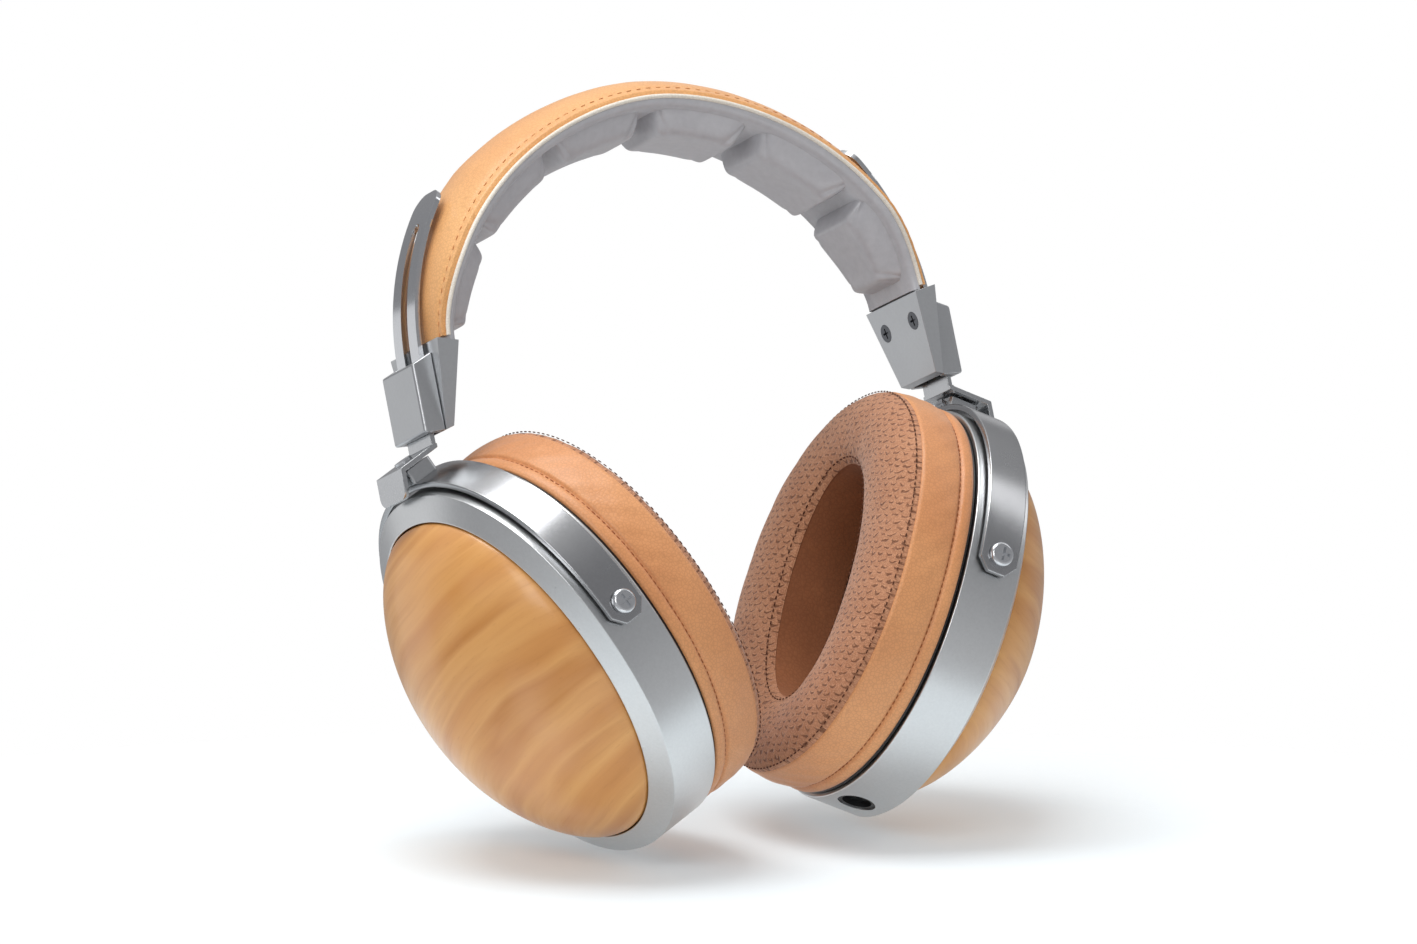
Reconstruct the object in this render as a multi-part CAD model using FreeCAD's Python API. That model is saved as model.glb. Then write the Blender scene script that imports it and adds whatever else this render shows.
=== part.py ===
import FreeCAD, Part
import math
import os

V = FreeCAD.Vector
os.makedirs("parts", exist_ok=True)

# Over ear headphones.  Millimetres, +Z up, front is -Y, the wearer's left is +X.
# Origin: under the middle of the headband, on the plane that the cup rings rest on.
# The +X side is modelled and the -X side is its mirror image.
# Cup parts are drawn in a cup frame: local X = n (outwards), local Y = Y, local Z = u (up the cup).

# ---- driving dimensions -------------------------------------------------
LEAN = 26.9          # degrees, cup plane off vertical when nobody wears them
CUP_X = 49.2         # cup centre to the mid plane
RY, RU = 44.8, 50.0  # cup ring half width and half height
EX = 2.12            # oval exponent (2 is an ellipse)
RIM = 7.0            # half depth of the ring's outer wall
BEV, BEV_T = 5.8, 3.1     # ring bevel: inwards, and outwards along n
RING_WALL = 4.0      # ring wall thickness
DOME_H, DOME_Q, DOME_E = 22.4, 1.45, 0.3  # wood dome height over the bevel, profile exponent, roundness of the top
WOOD_T = 4.0         # wood wall
PAD_A, PAD_B = RY - 0.2, RU - 0.9   # ear pad seam oval
PAD_SEAM = -22.4     # n of the seam between leather wall and fabric
PAD_BACK = -8.15     # n of the pad's back
OPEN_A, OPEN_B = 18.0, 30.3  # ear opening half width and half height
PIVOT_U = 4.8        # yoke pivots above the cup centre
YOKE_GAP, YOKE_T, YOKE_W = 0.8, 1.6, 10.0
KNUCKLE_TOP = 55.8
SHELF_TOP, SHELF_T = 57.5, 1.2
SWIVEL_N = 1.6       # swivel axis, outwards of the ring's middle
BLADE_W, BLADE_T = 12.5, 1.2
BLADE_X = 70.5       # blade's outer face in the channel
BLADE_R = 68.0       # bend of the blade above the housing
BLADE_BEND_Z = 73.1  # where the bend starts (above the cup centre)
BLADE_ARC = 38.0     # degrees of bend up to the blade's tip
SLOT_W = 3.5
TONGUE_X = 71.75    # tongue's outer face
HOUSE_BACK = 68.4    # housing's outer face, inner wall of the channel
BAND_X, BAND_Z, BAND_TOP, BAND_E = 66.5, 55.0, 131.3, 1.84
BAND_HALF_W = 16.1   # to the middle of the piping, at the top
BAND_END_HALF_W = 12.4
BAND_END_Z = 77.9    # covers end just above the housings
CROWN = 5.5
SOCKET_N = -0.5      # cable socket's axis
JACK_R = 1.8         # for a 3.5 mm plug

sa, ca = math.sin(math.radians(LEAN)), math.cos(math.radians(LEAN))
LIFT = RIM * sa + RU * ca   # puts the lowest point of the rings on z = 0


def sg(v, p):
    return math.copysign(abs(v) ** p, v)


# ---- helpers in the cup frame ------------------------------------------
def oval_wire(a, b, n, count=32):
    pts = []
    for i in range(count):
        t = 2 * math.pi * i / count
        pts.append(V(n, -a * sg(math.cos(t), 2 / EX), b * sg(math.sin(t), 2 / EX)))
    c = Part.BSplineCurve()
    c.interpolate(Points=pts, PeriodicFlag=True)
    return Part.Wire([c.toShape()])


def oval_point(a, b, deg):
    t = math.radians(deg)
    return -a * sg(math.cos(t), 2 / EX), b * sg(math.sin(t), 2 / EX)


def prism(a, b, n0, n1):
    return Part.Face(oval_wire(a, b, n0)).extrude(V(n1 - n0, 0, 0))


def oval_ring(profile):
    """Solid swept round the oval: a closed profile of (half width, half height, n)."""
    wires = [oval_wire(*p) for p in profile]
    faces = []
    for i, w in enumerate(wires):
        v = wires[(i + 1) % len(wires)]
        p, q = profile[i], profile[(i + 1) % len(wires)]
        if abs(p[2] - q[2]) < 1e-9:
            outer, inner = (w, v) if p[0] > q[0] else (v, w)
            faces += Part.Face(outer).cut(Part.Face(inner)).Faces
        else:
            faces += Part.makeLoft([w, v], False, True).Faces
    shell = Part.makeCompound(faces)
    shell.sewShape()
    s = Part.Solid(shell.Shells[0] if shell.Shells else Part.Shell(shell.Faces))
    if s.Volume < 0:
        s.reverse()
    return s


def cyl_n(r, n0, n1, y=0, u=0):
    return Part.makeCylinder(r, n1 - n0, V(n0, y, u), V(1, 0, 0))


def cyl_u(r, u0, u1, n=0, y=0):
    return Part.makeCylinder(r, u1 - u0, V(n, y, u0), V(0, 0, 1))


def cyl_y(r, y0, y1, n=0, u=0):
    return Part.makeCylinder(r, y1 - y0, V(n, y0, u), V(0, 1, 0))


def box(x0, x1, y0, y1, z0, z1):
    return Part.makeBox(x1 - x0, y1 - y0, z1 - z0, V(x0, y0, z0))


def revolve_n(points):
    """Closed profile of (r, n) turned about the n axis."""
    w = Part.makePolygon([V(n, 0, r) for r, n in points] + [V(points[0][1], 0, points[0][0])])
    return Part.Face(w).revolve(V(0, 0, 0), V(1, 0, 0), 360)


def plate_xz(points, y0, y1):
    w = Part.makePolygon([V(x, y0, z) for x, z in points] + [V(points[0][0], y0, points[0][1])])
    return Part.Face(w).extrude(V(0, y1 - y0, 0))


def solid_of(s):
    if s.ShapeType == "Solid":
        return s
    return s.Solids[0] if len(s.Solids) == 1 else Part.makeCompound(s.Solids)


def cup_place(s):
    s = s.copy()
    s.Placement = FreeCAD.Placement(V(CUP_X, 0, LIFT), FreeCAD.Rotation(V(0, 1, 0), LEAN))
    return s


def up(s):
    s = s.copy()
    s.translate(V(0, 0, LIFT))
    return s


parts = {}


def both(name, shape):
    parts["left_" + name] = solid_of(shape)
    parts["right_" + name] = solid_of(shape.mirror(V(0, 0, 0), V(1, 0, 0)))


def to_world(n, u):
    """Cup frame (n, u) to (x, z), z measured from the cup centre."""
    return CUP_X + n * ca + u * sa, -n * sa + u * ca


# ---- cup ring: oval aluminium rim with an outer bevel --------------------
RT = RIM + BEV_T
ring = oval_ring([
    (RY - 0.4, RU - 0.4, -RIM), (RY, RU, -RIM + 0.4), (RY, RU, RIM), (RY - BEV, RU - BEV, RT),
    (RY - BEV, RU - BEV, 3.0), (RY - RING_WALL, RU - RING_WALL, 3.0), (RY - RING_WALL, RU - RING_WALL, -RIM)])
LUGS = [oval_point(RY - 6.6, RU - 6.6, d) for d in (42, 138, 222, 318)]
for y, u in LUGS:
    ring = ring.fuse(cyl_n(3.1, -4.0, 2.9, y, u))
for y, u in LUGS:
    ring = ring.cut(cyl_n(1.0, -5.0, 2.0, y, u))
for s in (-1, 1):
    y0, y1 = (RY - 6, RY + 2) if s > 0 else (-RY - 2, -RY + 6)
    ring = ring.cut(cyl_y(1.3, y0, y1, 0, PIVOT_U))
ring = ring.cut(cyl_u(4.65, -RU - 3, -RU + 7, SOCKET_N))
both("cup_ring", cup_place(ring))


# ---- wood cup: hollow turned dome with a spigot inside the ring ----------
def dome(off, n0, n_base, h, q):
    """Dome over an oval: straight from n0 to n_base, then closing over the height h."""
    a, b = RY - off, RU - off
    wires = []
    e = DOME_E
    for sc in (1, 0.985, 0.955, 0.91, 0.85, 0.77, 0.67, 0.55, 0.42, 0.29, 0.17, 0.07):
        f = ((sc * sc + e * e) ** (q / 2) - e ** q) / ((1 + e * e) ** (q / 2) - e ** q)
        wires.append(oval_wire(a * sc, b * sc, n_base + h * (1 - f) ** (1 / q)))
    return prism(a, b, n0, n_base).fuse(Part.makeLoft(wires, True, False))


wood = dome(BEV + 0.05, 3.1, RT, DOME_H, DOME_Q).cut(dome(BEV + 0.05 + WOOD_T, 2.0, RT, DOME_H - WOOD_T, DOME_Q))
both("wood_cup", cup_place(wood))

# ---- driver baffle and its screws ----------------------------------------
baffle = prism(RY - RING_WALL - 0.05, RU - RING_WALL - 0.05, -6.6, -4.2).cut(cyl_n(20.4, -8, -3))
for y, u in LUGS:
    baffle = baffle.cut(cyl_n(1.2, -8, -3, y, u))
for i in range(6):
    for s in (-1, 1):
        baffle = baffle.cut(cyl_n(1.5, -8, -3, (i - 2.5) * 6.0, s * 33.5))
both("driver_baffle", cup_place(baffle))
screws = []
for y, u in LUGS:
    sc = cyl_n(0.95, -6.62, -0.5, y, u).fuse(cyl_n(1.9, -7.1, -6.62, y, u))
    sc = sc.cut(box(-7.2, -6.8, y - 1.3, y + 1.3, u - 0.25, u + 0.25)).cut(box(-7.2, -6.8, y - 0.25, y + 0.25, u - 1.3, u + 1.3))
    screws.append(solid_of(sc))
both("baffle_screws", cup_place(Part.makeCompound(screws)))

# ---- driver: basket, magnet, voice coil, diaphragm, felt -----------------
basket = revolve_n([(17.0, -4.15), (22.5, -4.15), (22.5, -2.65), (18.5, -2.65), (18.5, 2.0), (9.5, 2.0), (9.5, 0.5), (17.0, 0.5)])
for i in range(8):
    t = math.radians(22.5 + 45 * i)
    basket = basket.cut(cyl_n(1.6, 0, 3, 13.6 * math.cos(t), 13.6 * math.sin(t)))
both("driver_basket", cup_place(basket))
both("driver_magnet", cup_place(cyl_n(11.5, 2.05, 7.05).fuse(cyl_n(6.9, -1.8, 2.1))))
both("voice_coil", cup_place(cyl_n(8.2, -3.8, 0.4).cut(cyl_n(7.5, -4, 1))))
dia = [(20.0, -4.2), (17.0, -4.2), (14.5, -5.2), (11.0, -4.6), (8.2, -3.95), (5.0, -4.9), (0.0, -5.4)]
both("driver_diaphragm", cup_place(revolve_n(dia + [(r, n - 0.25) for r, n in reversed(dia)])))
both("damping_felt", cup_place(cyl_n(18.0, 2.05, 3.0).cut(cyl_n(12.0, 1, 4))))

# ---- cable socket in the bottom of the ring -------------------------------
sock = cyl_u(4.6, -RU + 0.4, -RU + 3.9, SOCKET_N).fuse(cyl_u(3.2, -RU + 3.8, -33.0, SOCKET_N))
sock = sock.cut(cyl_u(JACK_R, -RU - 1, -34.5, SOCKET_N)).cut(cyl_u(3.6, -RU, -RU + 1.9, SOCKET_N))
both("cable_socket", cup_place(sock))

# ---- ear pad: mounting ring, leather wall, foam, fabric face, dust cloth --
both("ear_pad_mount_ring", cup_place(oval_ring([
    (RY - 1.2, RU - 1.2, -8.1), (RY - 1.2, RU - 1.2, -7.3), (RY - 16, RU - 16, -7.3), (RY - 16, RU - 16, -8.1)])))
both("dust_cloth", cup_place(prism(RY - 16.2, RU - 16.2, -7.8, -7.3)))
A, B, T = PAD_A, PAD_B, 0.9
both("ear_pad_leather", cup_place(oval_ring([
    (A - 0.5, B - 0.5, PAD_BACK), (A, B, PAD_BACK - 0.8), (A, B, PAD_SEAM), (A - T, B - T, PAD_SEAM),
    (A - T, B - T, PAD_BACK - T), (OPEN_A + T, OPEN_B + T, PAD_BACK - T), (OPEN_A + T, OPEN_B + T, -24.0),
    (OPEN_A, OPEN_B, -24.0), (OPEN_A, OPEN_B, PAD_BACK)])))


def lam(f, n):
    return (A - f * (A - OPEN_A), B - f * (B - OPEN_B), n)


both("ear_pad_fabric", cup_place(oval_ring(
    [lam(0, PAD_SEAM - 0.1), lam(0.12, -24.9), lam(0.35, -26.7), lam(0.55, -27.1), lam(0.8, -26.2), lam(0.96, -25.0),
     lam(1, -24.1), lam(0.95, -24.1), lam(0.8, -25.3), lam(0.55, -26.2), lam(0.35, -25.8), lam(0.13, -24.0), lam(0.035, PAD_SEAM - 0.1)])))
both("ear_pad_foam", cup_place(oval_ring(
    [(A - T - 0.15, B - T - 0.15, PAD_BACK - T - 0.1), (A - T - 0.15, B - T - 0.15, -22.3), lam(0.14, -23.7), lam(0.35, -25.5),
     lam(0.55, -25.9), lam(0.8, -25.0), lam(0.945, -23.8), (OPEN_A + T + 0.15, OPEN_B + T + 0.15, PAD_BACK - T - 0.1)])))

# ---- yoke: bowed strap over the ring, chamfered ends ----------------------
g0, g1 = YOKE_GAP, YOKE_GAP + YOKE_T
hw = YOKE_W / 2
arm = prism(RY + g1, RU + g1, -hw, hw).cut(prism(RY + g0, RU + g0, -hw - 1, hw + 1))
keep = plate_xz([(-hw, PIVOT_U - 1.8), (-2.3, PIVOT_U - 4.9), (2.3, PIVOT_U - 4.9), (hw, PIVOT_U - 1.8), (hw, RU + 10), (-hw, RU + 10)],
                -RY - 10, RY + 10)
arm = arm.common(keep)
for s in (-1, 1):
    y0, y1 = (RY - 2, RY + 6) if s > 0 else (-RY - 6, -RY + 2)
    arm = arm.cut(cyl_y(1.3, y0, y1, 0, PIVOT_U))
both("yoke_arm", cup_place(arm))
pivots, washers = [], []
for s in (-1, 1):
    def span(r, y0, y1):
        return cyl_y(r, s * y0 if s > 0 else s * y1, s * y1 if s > 0 else s * y0, 0, PIVOT_U)
    head = span(3.0, RY + g1 + 0.02, RY + g1 + 1.5)
    edges = [e for e in head.Edges if abs(e.BoundBox.YMax - e.BoundBox.YMin) < 1e-6 and abs(abs(e.BoundBox.YMax) - (RY + g1 + 1.5)) < 1e-3]
    head = head.makeFillet(0.9, edges)
    yt = s * (RY + g1 + 1.5)
    for w, h in ((0.65, 3.4), (3.4, 0.65)):
        head = head.cut(box(-w / 2, w / 2, yt - 0.7, yt + 0.7, PIVOT_U - h / 2, PIVOT_U + h / 2))
    pivots.append(solid_of(head.fuse(span(1.24, RY - 3.3, RY + g1 + 0.1))))
    washer = span(2.8, RY - 1, RY + 1.5).cut(span(1.35, RY - 2, RY + 2))
    washers.append(solid_of(washer.common(prism(RY + g0 - 0.05, RU + g0 - 0.05, -4, 4)).cut(prism(RY + 0.2, RU + 0.2, -5, 5))))
both("yoke_pivot_screws", cup_place(Part.makeCompound(pivots)))
both("pivot_washers", cup_place(Part.makeCompound(washers)))

# ---- swivel knuckle on top of the yoke, its screw, and the swivel pin -----
kn = box(-2.8, 5.0, -4.5, 4.5, 51.0, KNUCKLE_TOP)
kn = kn.makeFillet(1.0, [e for e in kn.Edges if abs(e.BoundBox.ZMax - e.BoundBox.ZMin) > 3])
kn = kn.cut(prism(RY + g1 + 0.02, RU + g1 + 0.02, -8, 8))
kn = kn.cut(cyl_u(1.56, 50, 58, SWIVEL_N)).cut(cyl_n(0.85, -4, -0.2, 0, 54.3))
both("swivel_knuckle", cup_place(kn))
ks = cyl_n(0.8, -2.9, -0.3, 0, 54.3).fuse(cyl_n(1.4, -3.5, -2.82, 0, 54.3))
ks = ks.cut(box(-3.7, -3.2, -1.0, 1.0, 54.15, 54.45))
both("knuckle_screw", cup_place(ks))
both("swivel_pin", cup_place(cyl_u(1.5, 52.9, SHELF_TOP + 0.1, SWIVEL_N).fuse(cyl_u(2.3, SHELF_TOP + 0.02, SHELF_TOP + 0.75, SWIVEL_N))))

# ---- hinge bracket: tongue in the channel, sloping shelf, end flange ------
ti = TONGUE_X - 1.2
FX = to_world(6.8, SHELF_TOP)[0]


def shelf_z(x, u):
    return (u - (x - CUP_X) * sa) / ca


brk = plate_xz([(ti, 69), (ti, shelf_z(ti, SHELF_TOP - SHELF_T)), (FX - 1.2, shelf_z(FX - 1.2, SHELF_TOP - SHELF_T)), (FX - 1.2, 41.0),
                (FX, 41.0), (FX, shelf_z(FX, SHELF_TOP)), (TONGUE_X, shelf_z(TONGUE_X, SHELF_TOP)), (TONGUE_X, 69)], -6.8, 6.8)
for s in (-1, 1):
    brk = brk.cut(box(60, 75, *sorted((s * 6.2, s * 9)), 53.3, 75))
brk = brk.makeFillet(2.6, [e for e in brk.Edges if abs(e.BoundBox.ZMax - 41.0) < 1e-3 and abs(e.BoundBox.YMax - e.BoundBox.YMin) < 1e-3])
pin_hole = cyl_u(1.55, 52, 62, SWIVEL_N)
pin_hole.Placement = FreeCAD.Placement(V(CUP_X, 0, 0), FreeCAD.Rotation(V(0, 1, 0), LEAN))
brk = brk.cut(pin_hole)
RIVET_Z = (60.2, 66.2)
for z in RIVET_Z:
    brk = brk.cut(Part.makeCylinder(1.25, 6, V(68, 0, z), V(1, 0, 0)))
both("hinge_bracket", up(brk))
both("blade_rivets", up(Part.makeCompound([Part.makeCylinder(1.2, TONGUE_X - (BLADE_X - BLADE_T), V(BLADE_X - BLADE_T, 0, z), V(1, 0, 0)) for z in RIVET_Z])))

# ---- slider blade: slotted spring steel strip, straight then bowed inwards -
ro, ri = BLADE_R, BLADE_R - BLADE_T
cx = BLADE_X - BLADE_R
th = math.radians(BLADE_ARC)


def arc_pt(r, a):
    return V(cx + r * math.cos(a), 0, BLADE_BEND_Z + r * math.sin(a))


w = Part.Wire([
    Part.LineSegment(V(BLADE_X, 0, 57.5), V(BLADE_X, 0, BLADE_BEND_Z)).toShape(),
    Part.Arc(arc_pt(ro, 0), arc_pt(ro, th / 2), arc_pt(ro, th)).toShape(),
    Part.LineSegment(arc_pt(ro, th), arc_pt(ri, th)).toShape(),
    Part.Arc(arc_pt(ri, th), arc_pt(ri, th / 2), arc_pt(ri, 0)).toShape(),
    Part.LineSegment(V(BLADE_X - BLADE_T, 0, BLADE_BEND_Z), V(BLADE_X - BLADE_T, 0, 57.5)).toShape(),
    Part.LineSegment(V(BLADE_X - BLADE_T, 0, 57.5), V(BLADE_X, 0, 57.5)).toShape()])
blade = Part.Face(w).extrude(V(0, BLADE_W, 0))
blade.translate(V(0, -BLADE_W / 2, 0))
# rounded tip and the slot, both cut square to the strip
tip = arc_pt(BLADE_R - BLADE_T / 2, th)
for s in (-1, 1):
    # quarter-round corners of radius 4 at the tip
    frame = FreeCAD.Placement(tip, FreeCAD.Rotation(V(0, 1, 0), -BLADE_ARC))
    corner = box(-3, 3, *sorted((s * (BLADE_W / 2 - 4.5), s * (BLADE_W / 2 + 2))), -4.5, 2).cut(
        Part.makeCylinder(4.5, 6, V(-3, s * (BLADE_W / 2 - 4.5), -4.5), V(1, 0, 0)))
    corner.Placement = frame
    blade = blade.cut(corner)
slot_end = th - 9.0 / BLADE_R
sl = plate_xz([(BLADE_X + 3, 71.1), (BLADE_X - 4, 71.1), (cx + (ri - 4) * math.cos(slot_end), BLADE_BEND_Z + (ri - 4) * math.sin(slot_end)),
               (cx + (ro + 4) * math.cos(slot_end), BLADE_BEND_Z + (ro + 4) * math.sin(slot_end)), (BLADE_X + 3, BLADE_BEND_Z + 20)], -SLOT_W / 2, SLOT_W / 2)
blade = blade.cut(sl)
for z in RIVET_Z:
    blade = blade.cut(Part.makeCylinder(1.25, 6, V(68, 0, z), V(1, 0, 0)))
both("slider_blade", up(blade))

# ---- headband curve ---------------------------------------------------------
def band_pt(t, d=0.0):
    """Point of the band's side view at angle t (0 at the top), d inwards. Returns (x, z, normal x, normal z)."""
    def raw(q):
        return BAND_X * sg(math.sin(q), 2 / BAND_E), BAND_TOP - BAND_Z * (1 - sg(math.cos(q), 2 / BAND_E))
    x, z = raw(t)
    h = 1e-4
    xa, za = raw(t - h)
    xb, zb = raw(t + h)
    tx, tz = xb - xa, zb - za
    l = math.hypot(tx, tz)
    nx, nz = -tz / l, tx / l
    if nx * x + nz * (z - 60) < 0:
        nx, nz = -nx, -nz
    return x - d * nx, z - d * nz, nx, nz


def t_at_z(zv):
    lo, hi = 0.3, math.pi / 2 - 1e-6
    for _ in range(60):
        mid = (lo + hi) / 2
        if band_pt(mid)[1] > zv:
            lo = mid
        else:
            hi = mid
    return lo


T_END = t_at_z(BAND_END_Z)


def stations(t0, t1, count):
    return [t0 + (t1 - t0) * i / (count - 1) for i in range(count)]


def half_w(t):
    z = band_pt(t)[1]
    f = min(1.0, max(0.0, (z - BAND_END_Z) / 22.0))
    f = f * f * (3 - 2 * f)
    return BAND_END_HALF_W + (BAND_HALF_W - BAND_END_HALF_W) * f


def loft_band(ts, section):
    wires = []
    for t in ts:
        x, z, nx, nz = band_pt(t)
        wires.append(section(t, lambda y, d: V(x - d * nx, y, z - d * nz)))
    return Part.makeLoft(wires, True, True)


def rect(d0, d1, hwf):
    def f(t, P):
        h = hwf(t)
        return Part.makePolygon([P(-h, d0), P(h, d0), P(h, d1), P(-h, d1), P(-h, d0)])
    return f


def crown_at(t):
    z = band_pt(t)[1]
    return 1.0 + (CROWN - 1.0) * min(1.0, max(0.0, (z - BAND_END_Z)) / 38.0) ** 1.15


def leather_section(t, P):
    h = half_w(t) - 0.8
    c = crown_at(t)
    pts = [P(-h, 0)]
    for k in range(-3, 4):
        y = h * k / 4
        pts.append(P(y, -c * (1 - (y / h) ** 2)))
    pts += [P(h, 0), P(h, 1.6), P(-h, 1.6), P(-h, 0)]
    return Part.makePolygon(pts)


ts = stations(-T_END, T_END, 33)
parts["headband_leather_cover"] = up(loft_band(ts, leather_section))

strip = loft_band(ts, rect(1.65, 2.65, lambda t: 9.0))
# tails of the spring strip, square into the housings
ex, ez, enx, enz = band_pt(T_END, 1.65)
ix, iz = ex - enx, ez - enz
SL = (66.24 - 62.77) / 19.7     # lean of the housing's inner face
dz = -12.0
tail = plate_xz([(ex, ez), (ix, iz), (ix - SL * dz, iz + dz), (ex - SL * dz, ez + dz)], -9.0, 9.0)
for s in (-1, 1):
    t_ = tail if s > 0 else tail.mirror(V(0, 0, 0), V(1, 0, 0))
    strip = strip.fuse(t_)


def piping(side_y):
    wires = []
    for t in ts:
        x, z, nx, nz = band_pt(t, 0.9)
        tx, tz = -nz, nx
        c = Part.Circle(V(x, side_y * half_w(t), z), V(tx, 0, tz), 0.72)
        wires.append(Part.Wire([c.toShape()]))
    return Part.makeLoft(wires, True, True)


parts["headband_edge_piping"] = up(Part.makeCompound([solid_of(piping(-1)), solid_of(piping(1))]))

# ---- comfort pad: base strip and six raised blocks ---------------------------
lens = [0.0]
fine = stations(0, math.pi / 2 * 0.999, 400)
for a_, b_ in zip(fine, fine[1:]):
    p, q = band_pt(a_, 4.0), band_pt(b_, 4.0)
    lens.append(lens[-1] + math.hypot(p[0] - q[0], p[1] - q[1]))


def t_at_len(l):
    for i in range(len(lens) - 1):
        if lens[i + 1] >= l:
            return fine[i] + (fine[i + 1] - fine[i]) * (l - lens[i]) / (lens[i + 1] - lens[i])
    return fine[-1]


BLOCKS = ((1.6, 27.5), (31.0, 57.5), (61.0, 84.0))
t_pad = t_at_z(BAND_END_Z + 1.0)
pad = loft_band(stations(-t_pad, t_pad, 33), rect(2.75, 4.1, lambda t: half_w(t) - 2.0))
for a_, b_ in BLOCKS:
    for s in (-1, 1):
        t0, t1 = sorted((s * t_at_len(a_), s * t_at_len(b_)))
        pad = pad.fuse(loft_band(stations(t0, t1, 7), rect(3.9, 9.8, lambda t: half_w(t) - 4.6)))
parts["headband_comfort_pad"] = solid_of(up(pad))

# ---- slider housing (inner half) and cover (outer half) ----------------------
def x_in(z):
    return 62.77 + (76.31 - z) * SL


HB = HOUSE_BACK
house = plate_xz([(x_in(76.31), 76.31), (HB, 77.45), (HB, 56.0), (x_in(56.6), 56.6)], -14, 14)
for s in (-1, 1):
    # side taper: 13.1 at the top, 8.9 at the bottom
    cutter = Part.Face(Part.makePolygon([V(60, s * 13.1, 77.5), V(60, s * 8.9, 56.3), V(60, s * 8.7, 50), V(60, s * 20, 50), V(60, s * 20, 85),
                                         V(60, s * 13.6, 85), V(60, s * 13.1, 77.5)])).extrude(V(20, 0, 0))
    house = house.cut(cutter)
slot = plate_xz([(ex + 0.1, ez + 8), (ix - 0.1, iz + 8), (ix - 0.1, iz), (ix - 0.1 - SL * (dz - 0.2), iz + dz - 0.2),
                 (ex + 0.1 - SL * (dz - 0.2), ez + dz - 0.2), (ex + 0.1, ez)], -9.1, 9.1)
house = house.cut(slot)
nl = math.hypot(1, SL)
inw = V(-1 / nl, 0, -SL / nl)    # outward normal of the inner face, towards the head
hscrews = []
for s in (-1, 1):
    p0 = V(x_in(70.1), s * 7.0, 70.1)
    body = Part.makeCone(2.2, 1.0, 1.4, p0, inw * -1).fuse(Part.makeCylinder(1.0, 3.6, p0, inw * -1))
    hole = Part.makeCone(2.26, 1.06, 1.44, p0, inw * -1).fuse(Part.makeCylinder(1.06, 3.7, p0, inw * -1))
    hole = hole.fuse(Part.makeCylinder(2.26, 1.0, p0, inw))
    house = house.cut(hole)
    clear = Part.makeCylinder(1.2, 8, p0 + inw * 2, inw * -1)
    strip = strip.cut(clear).cut(clear.mirror(V(0, 0, 0), V(1, 0, 0)))
    for wy, wz in ((0.25, 1.3), (1.3, 0.25)):
        b_ = box(-0.6, 0.6, -wy, wy, -wz, wz)
        b_.Placement = FreeCAD.Placement(p0, FreeCAD.Rotation(V(0, 1, 0), -math.degrees(math.atan(SL))))
        body = body.cut(b_)
    hscrews.append(solid_of(body))
both("slider_housing", up(house))
both("housing_screws", up(Part.makeCompound(hscrews)))
parts["headband_spring_strip"] = solid_of(up(strip))

CX0 = HB + 0.04
cover = plate_xz([(CX0, 74.9), (74.05, 72.4), (74.05, 55.75), (CX0, 55.75)], -8.6, 8.6)
cover = cover.makeFillet(0.8, [e for e in cover.Edges if e.BoundBox.XMin > 74.0 and e.Length > 10])
cover = cover.cut(box(CX0 - 1, TONGUE_X + 0.3, -6.6, 6.6, 50, 80))
cover = cover.cut(box(TONGUE_X + 0.2, TONGUE_X + 1.5, -2.8, 2.8, 59.3, 69.3))
both("slider_cover", up(cover))
# bowed leaf spring in the cover's pocket
xs = TONGUE_X + 1.42
bow = [(xs, 59.5), (xs - 0.8, 62.2), (xs - 1.05, 64.3), (xs - 0.8, 66.4), (xs, 69.1)]
both("detent_spring", up(plate_xz(bow + [(xs, 68.2), (xs - 0.52, 66.1), (xs - 0.75, 64.3), (xs - 0.52, 62.5), (xs, 60.4)], -2.5, 2.5)))

for name, shape in parts.items():
    shape.exportStep("parts/" + name + ".step")
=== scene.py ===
import math
import bpy
import bmesh
import numpy as np
from mathutils import Matrix, Vector, noise


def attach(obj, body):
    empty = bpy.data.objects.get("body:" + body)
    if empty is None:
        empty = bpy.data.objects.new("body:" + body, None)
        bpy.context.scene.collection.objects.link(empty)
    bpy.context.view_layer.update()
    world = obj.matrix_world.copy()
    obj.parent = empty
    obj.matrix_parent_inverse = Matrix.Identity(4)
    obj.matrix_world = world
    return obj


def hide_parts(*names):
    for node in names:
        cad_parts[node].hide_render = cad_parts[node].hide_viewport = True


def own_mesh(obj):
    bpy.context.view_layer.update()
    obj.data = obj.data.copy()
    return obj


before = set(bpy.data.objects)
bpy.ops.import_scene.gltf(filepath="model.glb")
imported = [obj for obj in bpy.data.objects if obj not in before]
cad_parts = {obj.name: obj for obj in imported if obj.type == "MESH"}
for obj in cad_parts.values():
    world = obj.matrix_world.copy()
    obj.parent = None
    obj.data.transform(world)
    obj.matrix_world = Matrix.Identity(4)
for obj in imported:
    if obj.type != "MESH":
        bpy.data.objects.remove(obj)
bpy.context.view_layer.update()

# ---------------------------------------------------------------- dimensions (mm, as in the CAD)
LEAN = math.radians(26.9)
SA, CA = math.sin(LEAN), math.cos(LEAN)
CUP_X = 49.2
RY, RU, EX = 44.8, 50.0, 2.12
RIM, BEV, BEV_T, WALL = 7.0, 5.8, 3.1, 4.0
RT = RIM + BEV_T
DOME_H, DOME_Q, DOME_E = 22.4, 1.45, 0.3
PAD_A, PAD_B, PAD_SEAM, PAD_BACK = RY - 0.2, RU - 0.9, -22.4, -8.15
OPEN_A, OPEN_B = 18.0, 30.3
PIVOT_U = 4.8
YG, YT = 0.8, 1.6
BLADE_X, BLADE_T, BLADE_R, BEND_Z, BLADE_ARC = 70.5, 1.2, 68.0, 73.1, math.radians(38.0)
BLADE_W, SLOT_W = 12.5, 3.5
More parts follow.
